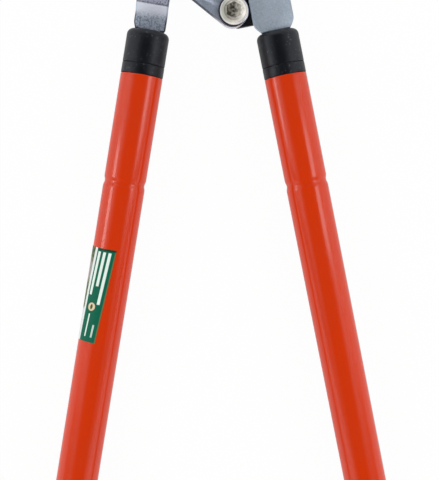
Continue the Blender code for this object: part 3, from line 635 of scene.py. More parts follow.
# Colours of painted highlights: on the arm's bend, and on the cut edges of the jaw and round the tail.
BEND_HIGHLIGHT_STEEL = (0.880, 0.910, 1.000)
EDGE_HIGHLIGHT_COLOUR = (0.80, 0.77, 0.86)
# Painted shade round the bolt heads, where their shadow falls on the plate: width, softness, strength and colour
# of a wide soft ring and of a narrow dark ring.
WIDE_BOLT_SHADE = (0.0028, 0.0036, 0.45, (0.060, 0.070, 0.080))
DARK_BOLT_SHADE = (0.0010, 0.0006, 0.90, (0.016, 0.017, 0.019))
ARM_SIDE_X = -0.020
ARM_END_Y = 0.205


def scaled(tint, factor):
    return tuple(min(channel * factor, 1.0) for channel in tint)


@cache
def material(maker):
    """The finish that a maker gives, made the first time that it is asked for."""
    return maker()


class Finish:
    """A material under way: its node tree, its shader, its colour so far and the places that its
    patterns read. A colour given as a number is the tint, made that much lighter or darker."""

    def __init__(self, name, colour_name, metallic=0.0, lighter=1.0):
        self.material = bpy.data.materials.new(name)
        self.material.use_nodes = True
        self.tree = self.material.node_tree
        self.shader = self.tree.nodes["Principled BSDF"]
        self.shader.inputs["Metallic"].default_value = metallic
        coordinates = self.tree.nodes.new("ShaderNodeTexCoord")
        self.solid = coordinates.outputs["Object"]
        self.flat = coordinates.outputs["UV"]
        self.tint = self.base = scaled(getattr(settings().colours, colour_name), lighter)

    def turned(self, degrees):
        """Object coordinates turned about Z."""
        rotation = (0, 0, radians(degrees))
        return made(self.tree, "ShaderNodeMapping", {"Vector": self.solid, "Rotation": rotation})

    def effect(self, group, vector, values):
        """What a shared effect gives on a vector, or else on Object coordinates."""
        inputs = {"Vector": self.solid if vector is None else vector, **values}
        node = add(self.tree, "ShaderNodeGroup", node_tree=group)
        for name, source in inputs.items():
            wire(self.tree, source, node.inputs[name])
        return SimpleNamespace(**{socket.name.lower(): Term(self.tree, socket) for socket in node.outputs})

    def grain(self, scale, speckle):
        return self.effect(grain_effect(), None, {"Scale": scale, "Speckle": speckle})

    def scratches(self, density, stretch, vector=None):
        return self.effect(scratches_effect(), vector, {"Density": density, "Stretch": stretch})

    def smudges(self, scale, vector=None):
        return self.effect(smudge_effect(), vector, {"Scale": scale})

    def mix(self, factor, first, second):
        """One colour turning into another."""
        first, second = (
            scaled(self.tint, one) if isinstance(one, (int, float)) else one for one in (first, second)
        )
        return made(self.tree, "ShaderNodeMix", {0: factor, 6: first, 7: second}, 2, data_type="RGBA")

    def tone(self, factor, towards):
        """Turns the colour so far into another."""
        self.base = self.mix(factor, self.base, towards)

    def done(self, roughness, height, distance, strength, constants=None):
        """The material with its colour, its roughness, its bumps and the shader's plain values."""
        bumps = {"Height": height, "Distance": distance, "Strength": strength}
        surface = {
            "Base Color": self.base,
            "Roughness": roughness,
            "Normal": made(self.tree, "ShaderNodeBump", bumps),
            **(constants or {}),
        }
        for name, source in surface.items():
            wire(self.tree, source, self.shader.inputs[name])
        return self.material


def powder_coat():
    finish = Finish("orange_powder_coat", "coat")
    wear = finish.smudges(26)
    peel = finish.grain(620, 0.9)
    finish.tone(wear.patches * 0.35, 0.90)
    finish.tone(peel.dark * 0.10, 0.7)
    return finish.done(wear.patches * 0.04 + wear.marks * 0.08 + 0.15, peel.height, 0.00002, 0.30)


def black_moulding():
    finish = Finish("black_moulding", "moulding")
    grain = finish.grain(1500, 0.8)
    wear = finish.smudges(90)
    finish.tone(grain.light * 0.3, 2.2)
    finish.tone(wear.marks * 0.6, (0.10, 0.105, 0.115))
    gloss = {"Specular Tint": (0.85, 0.90, 1.0), "Specular IOR Level": 0.44}
    return finish.done(wear.patches * 0.10 + 0.36, grain.height, 0.00003, 0.5, gloss)


def grip_rubber():
    finish = Finish("grip_rubber", "grip")
    grain = finish.grain(1100, 0.5)
    wear = finish.smudges(40)
    finish.tone(grain.light * 0.5, 2.5)
    finish.tone(wear.marks * 0.35, (0.07, 0.068, 0.062))
    sheen = {"Sheen Weight": 0.08, "Sheen Roughness": 0.5}
    return finish.done(0.82 - wear.patches * 0.18, grain.height, 0.00012, 0.7, sheen)


def plated_steel():
    """Mottled plating, mauve in patches and on the arm above its bend, with a painted highlight on the arm's bend,
    painted shade at the crease above it, and painted shade round the bolts where their heads' shadow falls.
    """
    finish = Finish("plated_steel", "steel", 0.75)
    wear = finish.smudges(260)
    mottle = finish.grain(900, 0.20)
    lines = finish.scratches(1100, 0.05, finish.turned(10.5))
    arm = parts_of_arm(finish)
    coarse = arm.whole * 0.8 + 0.4
    mauve = finish.mix(lines.lines * 0.35, tuple(settings().colours.steel_tint), 0.70)
    finish.tone((wear.patches * 0.5 + arm.upper).clamped(), mauve)
    finish.tone(mottle.light * coarse * 0.50, 1.65)
    finish.tone(mottle.dark * coarse * 0.60, 0.42)
    finish.tone(wear.marks * coarse * 0.6, 0.30)
    # Painted highlight on the arm's bend, and painted shade at the crease above it.
    finish.tone(arm.rubbed, BEND_HIGHLIGHT_STEEL)
    finish.tone(arm.crease, 0.35)
    # Painted shade round each bolt head, where its shadow falls on the plate.
    for name, place, _ in AXLES:
        bolt = beside_bolt(finish, name, place)
        for width, softness, depth, dirt_and_shade in (WIDE_BOLT_SHADE, DARK_BOLT_SHADE):
            finish.tone((1 - above(bolt.out, bolt.radius + width, softness)) * depth, dirt_and_shade)
    roughness = lines.height * 0.22 + mottle.dark * 0.08 + arm.rubbed * 0.20 + 0.36
    return finish.done(roughness, mottle.height * 0.6 + lines.height * 0.4, 0.00006, 0.5)


def parts_of_arm(finish):
    """Masks for the left arm: its bend, for a painted highlight that fades downwards, the crease at the bend's
    top, for painted shade, the arm above it, and the whole arm."""
    sizes = settings().head
    along = PLACES["left"].to_3x3().col[2]
    vectors = {0: finish.solid, 1: tuple(along)}
    along_arm = made(finish.tree, "ShaderNodeVectorMath", vectors, "Value", operation="DOT_PRODUCT")
    start = PLACES["left"].translation.dot(along) - sizes.joggle_start
    down = (along_arm - start) / sizes.joggle_length
    x, y, _ = axes(finish.tree, finish.solid)
    whole = (1 - above(x, ARM_SIDE_X, 0.008)) * (1 - above(y, ARM_END_Y + 0.014, 0.036))
    bend = above(down, 0.0, 0.06)
    return SimpleNamespace(
        rubbed=bend * (1 - faded(down, 0.35, 1.30)) * whole * 0.95,
        crease=between(down, -0.13, -0.02, 0.06) * whole * 0.55,
        upper=(1 - bend) * whole,
        whole=whole,
    )


def beside_bolt(finish, name, place):
    """Where a point is from a bolt's axis: across it, along Y, straight out and up, with the
    radius and the top of the bolt's head."""
    x, y, z = axes(finish.tree, finish.solid)
    across = x - place.translation.x
    along = y - place.translation.y
    _, top, radius = reach(f"{name}_bolt", place)
    return SimpleNamespace(
        across=across, along=along, out=diagonal(across, along), height=z, top=top, radius=radius
    )


def steel_edge_highlights():
    """The cut edges of the steel: a painted highlight on the jaw's edges and round the tail, dull on the arm,
    darkest below its bend, and a painted highlight at the bend."""
    finish = Finish("cut_steel_edge", "steel", 0.9)
    wear = finish.grain(500, 0.4)
    x, y, _ = axes(finish.tree, finish.solid)
    beside = above(x, HUB_PLACE.translation.x - 0.0115, 0.008)
    edge_highlight = (beside + above(y, ARM_END_Y, 0.020)).clamped()
    arm = parts_of_arm(finish)
    finish.base = finish.mix(wear.light, 0.12, 0.34)
    finish.tone((arm.upper + (1 - arm.whole) * 0.6).clamped() * 0.75, 0.65)
    # Painted highlight at the arm's bend, and painted highlights on the jaw's edges and round the tail.
    finish.tone(arm.rubbed * 0.9, 1.45)
    finish.tone(edge_highlight, finish.mix(wear.dark * 0.2, EDGE_HIGHLIGHT_COLOUR, (0.55, 0.55, 0.61)))
    return finish.done(wear.dark * 0.1 + 0.50 - edge_highlight * 0.28, wear.height, 0.00003, 0.4)


def ground_blade():
    finish = Finish("ground_blade", "blade", 0.6)
    lines = finish.scratches(1900, 0.03, finish.turned(8))
    wear = finish.smudges(70)
    finish.tone(lines.lines * 0.6, 0.66)
    finish.tone(wear.patches * 0.35, 0.80)
    finish.tone(wear.marks * 0.4, 0.45)
    return finish.done(lines.height * 0.18 + wear.patches * 0.06 + 0.18, lines.height, 0.00003, 0.35)


def cast_metal(name="cast_metal", lighter=1.0):
    finish = Finish(name, "cast", 0.55, lighter)
    grain = finish.grain(820, 0.45)
    wear = finish.smudges(120)
    finish.tone(grain.dark * 0.45, 0.60)
    finish.tone(grain.light * 0.45, 1.40)
    finish.tone(wear.patches * 0.25, (0.53, 0.56, 0.66))
    return finish.done(grain.height * 0.15 + 0.46, grain.height, 0.00010, 0.55)


def cast_rim_highlight():
    """The rounded rim of the casting, a painted highlight a little brighter than its faces."""
    return cast_metal("rubbed_cast_edge", 1.35)


def black_oxide():
    finish = Finish("black_oxide", "oxide", 0.3)
    grain = finish.grain(900, 0.5)
    lines = finish.scratches(1300, 0.06, finish.turned(100))
    finish.tone(lines.lines * 0.25, 3.0)
    finish.tone(grain.light * 0.2, 2.4)
    return finish.done(lines.height * 0.15 + 0.34, grain.height, 0.00004, 0.4)


def worn_oxide():
    """The rounded edges of the black plate, rubbed to grey in places."""
    finish = Finish("worn_oxide_edge", "oxide", 0.6, 1.5)
    wear = finish.grain(420, 0.3)
    finish.tone(wear.light * 0.6, (0.16, 0.17, 0.19))
    return finish.done(wear.dark * 0.15 + 0.35, wear.height, 0.00003, 0.4)


def bolt_plate():
    """Satin plate of the domed bolt heads: painted shade on the left flank, a painted highlight on the rim with a
    painted shadow line inside it on the right, and painted shade with dirt blotches in the recess."""
    finish = Finish("bolt_plate", "nickel", 0.45)
    tones = finish.smudges(230, finish.turned(40))
    wear = finish.smudges(330)
    grain = finish.grain(1300, 0.6)
    finish.tone(tones.patches * 0.50, (0.95, 0.80, 0.76))
    finish.tone(wear.patches * 0.30, (0.74, 0.80, 0.64))
    finish.tone(grain.dark * 0.15, 0.6)
    across, out = place_on_head(finish)
    # Painted shade on the left flank, a painted shadow line inside the rim on the right, and a painted highlight
    # round the rim.
    shaded_left_flank = (1 - above(across, -0.39, 0.67)) * (1 - above(out, 0.95, 0.13))
    rim_shadow_line = between(out, 0.85, 0.91, 0.03) * above(across, 0.1, 0.4)
    finish.tone(shaded_left_flank * 0.85, (0.37, 0.38, 0.32))
    finish.tone(rim_shadow_line * 0.45, (0.26, 0.26, 0.28))
    finish.tone(above(out, 0.935, 0.04) * 0.8, (1.0, 1.0, 1.0))
    # Painted shade in each bolt's recess, with dirt blotches.
    for name, place, _ in AXLES:
        finish.tone(recess_shade_and_dirt(finish, name, place), (0.060, 0.054, 0.038))
    return finish.done(wear.patches * 0.10 + grain.dark * 0.06 + 0.34, grain.height, 0.00003, 0.25)


def place_on_head(finish):
    """How far a point is to the right of the nearer bolt's axis, and how far out from it, both as
    a share of the head's radius."""
    pivot, hub = (beside_bolt(finish, name, place) for name, place, _ in AXLES)
    on_pivot = above(pivot.along + hub.along, 0, 0.002)
    radius = on_pivot * (pivot.radius - hub.radius) + hub.radius
    across = hub.across + on_pivot * (pivot.across - hub.across)
    return across / radius, (hub.out + on_pivot * (pivot.out - hub.out)) / radius


def recess_shade_and_dirt(finish, name, place):
    """A mask for painted shade in a bolt's recess, thick in its deep left side and thin on its right, with dirt
    blotches in it.
    """
    bolt = beside_bolt(finish, name, place)
    recess = settings().head.recess_radius
    inside = 1 - above(bolt.out, recess, 0.0006)
    below = 1 - above(bolt.height, bolt.top - 0.0009, 0.0008)
    shaded = 1 - above(bolt.across - bolt.along * 0.35, recess * 0.20, recess * 0.9)
    dirt_and_shade = above(noise(finish.tree, finish.solid, 430.0, 3.0, 0.6), 0.50, 0.10)
    return inside * below * (shaded * 0.76 + dirt_and_shade * 0.42).clamped()


def nickel_plate():
    finish = Finish("nickel_plate", "nickel", 1.0)
    wear = finish.smudges(170)
    tones = finish.smudges(95, finish.turned(40))
    grain = finish.grain(1400, 0.8)
    finish.tone(wear.patches * 0.35, (0.80, 0.70, 0.66))
    finish.tone(tones.patches * 0.30, (0.68, 0.73, 0.62))
    finish.tone(grain.dark * 0.12, 0.6)
    return finish.done(wear.patches * 0.10 + grain.dark * 0.06 + 0.24, grain.height, 0.00003, 0.25)


def zinc_plate():
    finish = Finish("zinc_plate", "drawn", 1.0)
    lines = finish.scratches(900, 0.5)
    wear = finish.smudges(220)
    finish.tone(wear.patches * 0.5, (0.60, 0.62, 0.70))
    finish.tone(lines.lines * 0.3, 0.65)
    return finish.done(wear.patches * 0.12 + 0.26, lines.height, 0.00003, 0.4)


def drawn_tube():
    finish = Finish("drawn_tube", "drawn", 1.0)
    lines = finish.scratches(2600, 0.012, finish.flat)
    wear = finish.smudges(45)
    finish.tone(lines.lines * 0.35, 0.75)
    finish.tone(wear.patches * 0.2, 0.88)
    return finish.done(lines.height * 0.16 + 0.17, lines.height, 0.00002, 0.4)


def lock_nylon():
    finish = Finish("lock_nylon", "nylon")
    grain = finish.grain(700, 0.4)
    finish.tone(grain.light * 0.4, 1.15)
    depth = {"Subsurface Weight": 0.15, "Subsurface Scale": 0.002}
    return finish.done(grain.dark * 0.1 + 0.45, grain.height, 0.00005, 0.4, depth)


# The label, with places as shares of its width (U) and its height (V)

LABEL_LINES = (
    (0.105, 0.027, 0.035, 0.590),
    (0.206, 0.027, 0.035, 0.400),
    (0.311, 0.027, 0.035, 0.500),
    (0.236, 0.014, 0.700, 0.945),
    (0.094, 0.006, 0.810, 0.945),
    (0.112, 0.006, 0.810, 0.945),
)
LABEL_GREEN_END = 0.370
LABEL_WHITE_END = 0.433
LABEL_SEAL = (0.227, 0.625)
SEAL_RADIUS_MM = 2.75
LEAF_RADIUS_MM = 2.5
LEAF_OFFSET_MM = 1.5
LABEL_GRID = (72, 28)
LABEL_FILM = (0.00004, 0.00016)


def printed_label():
    """A plain garden label: green panel with pale rules and a leaf seal, white strip, foliage."""
    finish = Finish("printed_label", "label")
    u, v, _ = axes(finish.tree, finish.flat)
    sizes = settings().label
    grain = finish.grain(900, 0.5)
    leaves = noise(finish.tree, finish.solid, 330.0, 4.0, 0.65)
    foliage = finish.mix(above(leaves, 0.5, 0.2), (0.030, 0.050, 0.018), (0.150, 0.210, 0.085))
    foliage = finish.mix(between(v, 0.15, 0.36, 0.08) * 0.8, foliage, (0.420, 0.370, 0.370))
    foliage = finish.mix(above(v, 0.66, 0.04), foliage, (0.700, 0.740, 0.730))
    finish.tone(grain.dark * 0.15, 0.75)
    finish.tone(between(u, 0.0, 0.02, 0.01), (0.16, 0.17, 0.06))
    finish.tone(1 - above(v, 0.02, 0.012), (0.0, 0.055, 0.025))
    rules = sum(
        between(u, centre - half, centre + half, 0.008) * between(v, first, last, 0.006)
        for centre, half, first, last in LABEL_LINES
    )
    finish.tone(rules, (0.80, 0.90, 0.83))
    x = (u - LABEL_SEAL[0]) * (sizes.width * TUBE_RADIUS * 1000)
    y = (v - LABEL_SEAL[1]) * ((sizes.bottom - sizes.top) * 1000)
    finish.tone(1 - above(diagonal(x, y), SEAL_RADIUS_MM, 0.3), (0.80, 0.62, 0.42))
    leaf = 1 - above(diagonal(x.step("ABSOLUTE") + LEAF_OFFSET_MM, y), LEAF_RADIUS_MM, 0.25)
    finish.tone(leaf, (0.05, 0.12, 0.03))
    finish.tone(above(u, LABEL_GREEN_END, 0.006), (0.80, 0.84, 0.82))
    finish.tone(above(u, LABEL_WHITE_END, 0.006), foliage)
    return finish.done(grain.height * 0.12 + 0.40, grain.height, 0.00001, 0.3, {"Specular IOR Level": 0.15})


def make_label():
    """The label on the left tube: a thin film that winds a little as it goes down."""
    sizes = settings().label
    columns, rows = LABEL_GRID
    bm = bmesh.new()
    uv_map = bm.loops.layers.uv.new("label")
    places = {}

    def corner(lift, row, column):
        u, v = column / columns, row / rows
        turn = sizes.edge + sizes.skew * v - sizes.width * u
        radius = TUBE_RADIUS + lift
        along = sizes.top + (sizes.bottom - sizes.top) * v
        vert = bm.verts.new((radius * sin(turn), radius * cos(turn), along))
        places[vert] = (u, v)
        return vert

    under, over = (
        [[corner(lift, row, column) for column in range(columns + 1)] for row in range(rows + 1)]
        for lift in LABEL_FILM
    )
    for grid in (under, over):
        for near, far in zip(grid, grid[1:]):
            for k in range(columns):
                bm.faces.new((near[k], near[k + 1], far[k + 1], far[k]))
    edge = [(0, column) for column in range(columns)] + [(row, columns) for row in range(rows)]
    edge += [(rows, column) for column in range(columns, 0, -1)] + [(row, 0) for row in range(rows, 0, -1)]
    for (row, column), (to_row, to_column) in zip(edge, edge[1:] + edge[:1]):
        low, next_low = under[row][column], under[to_row][to_column]
        bm.faces.new((low, next_low, over[to_row][to_column], over[row][column]))
    for face in bm.faces:
        for loop in face.loops:
            loop[uv_map].uv = places[loop.vert]
    bmesh.ops.recalc_face_normals(bm, faces=bm.faces)
    label = smoothed(object_from("left_tube_label", bm))
    label.data.transform(PLACES["left"])
    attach(painted(label, material(printed_label)), "left_handle")


# Pieces of the handles

CAP_STEPS = 10
TANG_HALVES = (0.0075, 0.0025)
GROOVE_STEPS = 12
GRIP_STEPS = 48
GRIP_WAIST = 0.0155
GRIP_SWELL = 0.0009
SWELL_SHARE = 0.7
FIRST_RIB = 0.012
END_CAP_DISH = 0.0010


def make_turned_pair(suffix, profile, node, maker):
    """The same turned piece for both handles."""
    for side in HAND_SIDES:
        piece = turned(f"{side}_{suffix}", profile)
        stand_in(piece, [f"{side}_{node}"], [maker], PLACES[side])


def make_outer_tubes():
    sizes = settings().handle
    tree = rolled_tube_tree()
    values = {
        "Radius": sizes.tube_radius,
        "Wall": sizes.tube_wall,
        "Lip": sizes.tube_lip,
        "Start": TUBE_TOP,
        "End": TUBE_END,
        "Groove Start": sizes.groove_place - sizes.groove_length / 2,
        "Groove Length": sizes.groove_length,
        "Groove Depth": sizes.groove_depth,
        "Sides": SIDES,
        "Rows": 8,
        "Material": material(powder_coat),
    }
    for side in HAND_SIDES:
        tube = grown(f"{side}_rolled_tube", tree, values)
        stand_in(tube, [f"{side}_outer_tube"], place=PLACES[side])


def make_inner_tubes():
    bore = INNER_RADIUS - settings().handle.tube_wall
    corners = [
        (bore, INNER_END, 0),
        (INNER_RADIUS - EASE, INNER_END, 0),
        (INNER_RADIUS, INNER_END - EASE, 0.0002),
        (INNER_RADIUS, INNER_TOP, EASE),
        (bore, INNER_TOP, 0),
    ]
    make_turned_pair("drawn_tube", rounded(corners), "inner_tube", drawn_tube)


def make_caps():
    """The caps, with a rounded shoulder and a slot for the tang of the arm."""
    sizes = settings().handle
    bore = INNER_RADIUS + GAP
    turns = [pi / 2 * k / CAP_STEPS for k in range(CAP_STEPS + 1)]
    shoulder = sizes.cap_shoulder
    outside = [(CAP_RADIUS - shoulder * (1 - cos(turn)), shoulder * (1 - sin(turn))) for turn in turns]
    inside = [(0, sizes.cap_roof), (bore, sizes.cap_roof), (bore, CAP_END)]
    rim = rounded([(bore, CAP_END, 0), (CAP_RADIUS - 0.0001, CAP_END, EASE), (CAP_RADIUS, CAP_END - PAST, 0)])
    profile = inside + rim[1:] + outside + [(0, 0)]
    slot = rectangle(*(half + GAP for half in TANG_HALVES))
    for side in HAND_SIDES:
        cap = turned(f"{side}_moulded_cap", profile)
        carved(cap, prism("cap_slot", slot, -PAST, sizes.cap_roof + PAST))
        stand_in(cap, [f"{side}_cap"], [black_moulding], PLACES[side])


def groove_at(along, sizes):
    """How deep the rolled groove is at this distance."""
    share_along = (along - sizes.groove_place) / sizes.groove_length + 0.5
    return sizes.groove_depth * sin(pi * min(max(share_along, 0), 1)) ** 2


def make_guide_bushings():
    """The black rings, each with a sleeve inside the outer tube that the rolled groove holds."""
    sizes = settings().handle
    bore = INNER_RADIUS + GAP
    sleeve = sizes.tube_radius - sizes.tube_wall - GAP
    ring_end = RING_TOP + sizes.ring_length
    shares = [0.5 - k / GROOVE_STEPS for k in range(GROOVE_STEPS + 1)]
    places = [sizes.groove_place + sizes.groove_length * one for one in shares]
    grooved = [(sleeve - groove_at(along, sizes), along) for along in places]
    ring = [(sleeve, ring_end, 0), (RING_RADIUS, ring_end, EASE)]
    ring += [(RING_RADIUS, RING_TOP, EASE), (bore, RING_TOP, 0)]
    profile = [(sleeve, BUSHING_END)] + grooved + rounded(ring) + [(bore, BUSHING_END)]
    make_turned_pair("moulded_bushing", profile, "guide_bushing", black_moulding)


def grip_radius(share_along):
    """The grip's radius: a swell under the palm, then a flare to its end."""
    swell = 0.5 - 0.5 * cos(2 * pi * min(share_along / SWELL_SHARE, 1.0))
    flare = max(0.0, (share_along - SWELL_SHARE) / (1 - SWELL_SHARE)) ** 2
    return GRIP_WAIST + GRIP_SWELL * swell + (GRIP_RADIUS - GRIP_WAIST) * flare


def make_grips():
    sizes = settings().handle
    bore = sizes.tube_radius + GAP
    grip_length = GRIP_END - GRIP_TOP
    shares = [k / GRIP_STEPS for k in range(1, GRIP_STEPS)]
    lead = [(bore, 0), (GRIP_WAIST - 0.0009, 0), (GRIP_WAIST - 0.0003, 0.0004), (GRIP_WAIST, 0.0012)]
    tail = [(GRIP_RADIUS, GRIP_END - 0.002, 0), (GRIP_RADIUS, GRIP_END, 0.0008), (bore, GRIP_END, 0)]
    profile = [(radius, GRIP_TOP + along) for radius, along in lead]
    profile += [(grip_radius(one), GRIP_TOP + grip_length * one) for one in shares] + rounded(tail)
    ribs = grip_ribs_tree()
    values = {
        "First": GRIP_TOP + FIRST_RIB,
        "Spacing": sizes.rib_spacing,
        "Rib Size": sizes.rib_size,
        "Top": GRIP_TOP,
        "Length": grip_length,
        "Waist": GRIP_WAIST,
        "Swell": GRIP_SWELL,
        "Swell Share": SWELL_SHARE,
        "Count": sizes.rib_count,
        "Sides": SIDES,
        "Material": material(grip_rubber),
    }
    for side in HAND_SIDES:
        stand_in(turned(f"{side}_soft_grip", profile), [f"{side}_grip"], [grip_rubber], PLACES[side])
        rows = grown(f"{side}_grip_ribs", ribs, values)
        rows.data.transform(PLACES[side])
        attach(rows, f"{side}_handle")


def make_end_caps():
    sizes = settings().handle
    plug = sizes.tube_radius - sizes.tube_wall - GAP
    flange_top = GRIP_END + GAP
    corners = [
        (0, END_CAP_END - END_CAP_DISH, 0),
        (0.0080, END_CAP_END - END_CAP_DISH, 0.0006),
        (0.0090, END_CAP_END, 0.0006),
        (END_CAP_RADIUS, END_CAP_END, 0.0022),
        (END_CAP_RADIUS, flange_top, 0.0006),
        (plug, flange_top, 0),
        (plug, PLUG_TOP, 0.0010),
        (0, PLUG_TOP, 0),
    ]
    make_turned_pair("moulded_end_cap", rounded(corners), "end_cap", black_moulding)


# Pieces of the head

DOME_STEPS = 14
THREAD_PITCH = 0.0010
THREAD_DEPTH = 0.0003
THREAD_TURNS = 8
SHANK_POINT = 0.0006
RECESS_TURN = radians(30)
MOUTH_SHARE = 1.12
NUT_CHAMFER = 0.58
WASHER_WIDTH = 0.0050
SCREW_RADIUS = 0.0025
SCREW_HEAD = 0.0024
KEY_RADIUS = 0.0017
KEY_DEPTH = 0.0014


def make_plates():
    """The plates and arms, rounded, each but the blade with a second finish on its cut edges."""
    sizes = settings().head
    for node, makers, *rounding in (
        ("hook_with_left_arm", (plated_steel, steel_edge_highlights), sizes.hook_rounding, 3),
        ("blade", (ground_blade,), 0.0),
        ("lever_plate", (black_oxide, worn_oxide), sizes.plate_rounding),
        ("lever_arm", (cast_metal, cast_rim_highlight), sizes.plate_rounding, 2, radians(50)),
    ):
        stand_in(refined(node, *rounding), [node], makers)


def bolt_profile(head_radius, shank_radius, shank_end, seat):
    """A domed head with an eased rim, on a shank whose grooves stand for a thread."""
    sizes = settings().head
    rim_top = seat + sizes.rim
    turns = [pi / 2 * k / DOME_STEPS for k in range(DOME_STEPS)]
    dome = [(head_radius * sin(turn), rim_top + (sizes.dome - sizes.rim) * cos(turn)) for turn in turns]
    rim = rounded([(head_radius, rim_top, 0), (head_radius, seat, 0.0002), (shank_radius, seat, 0)])
    thread = []
    for k in range(THREAD_TURNS * 2 + 1):
        depth = THREAD_DEPTH if k % 2 == 0 else 0.0
        height = shank_end + SHANK_POINT + THREAD_PITCH / 2 * (THREAD_TURNS * 2 - k)
        thread.append((shank_radius - depth, height))
    return dome + rim + thread + [(shank_radius - 0.0010, shank_end), (0, shank_end)]


def make_bolts():
    """The bolts, each with a tapered hexagon recess that ends in a shallow cone."""
    sizes = settings().head
    mouth = hexagon(sizes.recess_radius * MOUTH_SHARE, RECESS_TURN)
    cone_radius = sizes.recess_radius * sizes.recess_taper * 0.8
    for name, place, shank_radius in AXLES:
        low, top, head_radius = reach(f"{name}_bolt", place)
        bolt = turned(f"{name}_bolt_domed", bolt_profile(head_radius, shank_radius, low, top - sizes.dome))
        bottom = top - sizes.recess_depth
        carved(bolt, prism("recess", mouth, bottom, top + 0.0004, sizes.recess_taper / MOUTH_SHARE))
        cone_top = bottom + 0.0001
        carved(bolt, turned("recess_end", [(0, bottom - 0.0010), (cone_radius, cone_top), (0, cone_top)], 24))
        stand_in(bolt, [f"{name}_bolt"], [bolt_plate], place)


def make_nuts():
    for name, place, shank_radius in AXLES:
        low, top, corner_radius = reach(f"{name}_nut", place)
        flat_radius = corner_radius * cos(pi / 6)
        bore = shank_radius + GAP
        lift = (corner_radius - flat_radius) * NUT_CHAMFER
        profile = [
            (bore, top),
            (flat_radius, top),
            (corner_radius + 0.0001, top - lift),
            (corner_radius + 0.0001, low + lift),
            (flat_radius, low),
            (bore + 0.0005, low),
            (bore, low + 0.0005),
        ]
        nut = turned(f"{name}_nut_chamfered", profile)
        carved(nut, prism("nut_flats", hexagon(corner_radius), low - PAST, top + PAST), "INTERSECT")
        nut.data.transform(place)
        stand_in(softened(nut, 0.0002), [f"{name}_nut"], [nickel_plate])


def make_washers():
    for name, place, _ in AXLES:
        low, top, outer = reach(f"{name}_washer", place)
        bore = outer - WASHER_WIDTH
        rim = [(bore, top, 0), (outer, top, 0.0004), (outer, low, 0.0004), (bore, low, 0.0002)]
        washer = turned(f"{name}_washer_pressed", rounded(rim + [(bore, (low + top) / 2, 0)]))
        stand_in(washer, [f"{name}_washer"], [zinc_plate], place)


def make_lever_screws():
    """One screw, turned and with a key recess, at the place of each of the three solids."""
    names = [f"lever_screw_{k}" for k in (1, 2, 3)]
    boxes = [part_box(name) for name in names]
    centres = [(low + high) / 2 for low, high in boxes]
    least, most = boxes[0]
    low, tip = least.z, most.z
    head_radius = (most.x - least.x) / 2
    profile = [
        (0, tip),
        (0.0020, tip),
        (SCREW_RADIUS, tip - 0.0005),
        (SCREW_RADIUS, low + SCREW_HEAD),
        (head_radius - 0.0003, low + SCREW_HEAD),
        (head_radius, low + 0.0021),
        (head_radius, low + 0.0012),
        (head_radius * 0.86, low + 0.0005),
        (head_radius * 0.60, low + 0.0001),
        (0, low),
    ]
    screw = turned("one_screw", profile, 48)
    carved(screw, prism("key_recess", hexagon(KEY_RADIUS), low - PAST, low + KEY_DEPTH))
    mesh = bpy.data.meshes.new("screw_places")
    mesh.from_pydata([(centre.x, centre.y, 0) for centre in centres], [], [])
    places = new_object("screw_places", mesh)
    values = {"Places": places, "Screw": screw, "Material": material(nickel_plate)}
    screws = grown("lever_screws", screws_tree(), values)
    for helper in (screw, places):
        bpy.data.objects.remove(helper)
    stand_in(screws, names)


def finish_hidden_solids():
    """The solids that stay as they are get their procedural finish."""
    makers = {"lock_core": lock_nylon, "lock_sleeve": lock_nylon, "tang_pin": nickel_plate}
    for side in HAND_SIDES:
        for name, maker in makers.items():
            painted(frame["nodes"][f"{side}_{name}"], material(maker))


# Studio

AIM = Vector((0.0022, 0.0184, 0.0170))
DISTANCE = 0.650
TILT = radians(3.7)
ROLL = radians(-1.0121)
LENS = 72.75
SENSOR = 36.0
FLOOR_HALF = 6
HOOD_HALF = 4
HOOD_HEIGHT = 0.72
HOOD_LEFT = (-0.88, -0.17)
HOOD_RIGHT = (0.80, 0.25)
HOOD_FAR = (0.75, 0.30)
HOOD_NEAR = (-0.45, -0.05)
HOOD_END = (-0.80, -0.50)


def look_from(right, back):
    """The turn of a camera or a light, from its own right and the way that its back faces."""
    return Matrix((right, back.cross(right), back)).transposed().to_4x4()


def make_camera():
    """The camera looks down on the handles, leaning a little from the jaws' side."""
    right = Vector((cos(ROLL), sin(ROLL), 0))
    flat_up = Vector((-sin(ROLL), cos(ROLL), 0))
    back = flat_up * sin(TILT) + Vector((0, 0, cos(TILT)))
    data = bpy.data.cameras.new("camera")
    data.lens = LENS
    data.sensor_width = SENSOR
    data.clip_start = 0.01
    data.clip_end = 20
    camera = new_object("camera", data)
    camera.matrix_world = look_from(right, back)
    camera.location = AIM + back * DISTANCE
    bpy.context.scene.camera = camera


def bare_tree(owner):
    """The emptied node tree of a material or a world."""
    owner.use_nodes = True
    owner.node_tree.nodes.clear()
    return owner.node_tree


def bright_for(tree, mirrored=1.0):
    """1 for camera rays, and the mirrored share for glossy and transmission rays."""
    paths = tree.nodes.new("ShaderNodeLightPath")
    seen, glossy, passed = (
        Term(tree, paths.outputs[f"Is {kind} Ray"]) for kind in ("Camera", "Glossy", "Transmission")
    )
    return (seen + (glossy + passed).clamped() * mirrored).clamped()


def make_floor():
    studio = settings().studio
    floor_material = bpy.data.materials.new("studio_floor")
    tree = bare_tree(floor_material)
    matt = made(tree, "ShaderNodeBsdfDiffuse", {"Color": (0.86, 0.86, 0.86)})
    white = made(tree, "ShaderNodeEmission", {"Color": (1, 1, 1), "Strength": 1.0})
    whiteness = bright_for(tree, studio.floor_gloss) * studio.floor_white
    seen = made(tree, "ShaderNodeMixShader", {0: whiteness, 1: matt, 2: white})
    add(tree, "ShaderNodeOutputMaterial", {"Surface": seen})
    floor = prism("floor", rectangle(FLOOR_HALF, FLOOR_HALF), -0.02, -0.0002)
    painted(floor, floor_material)


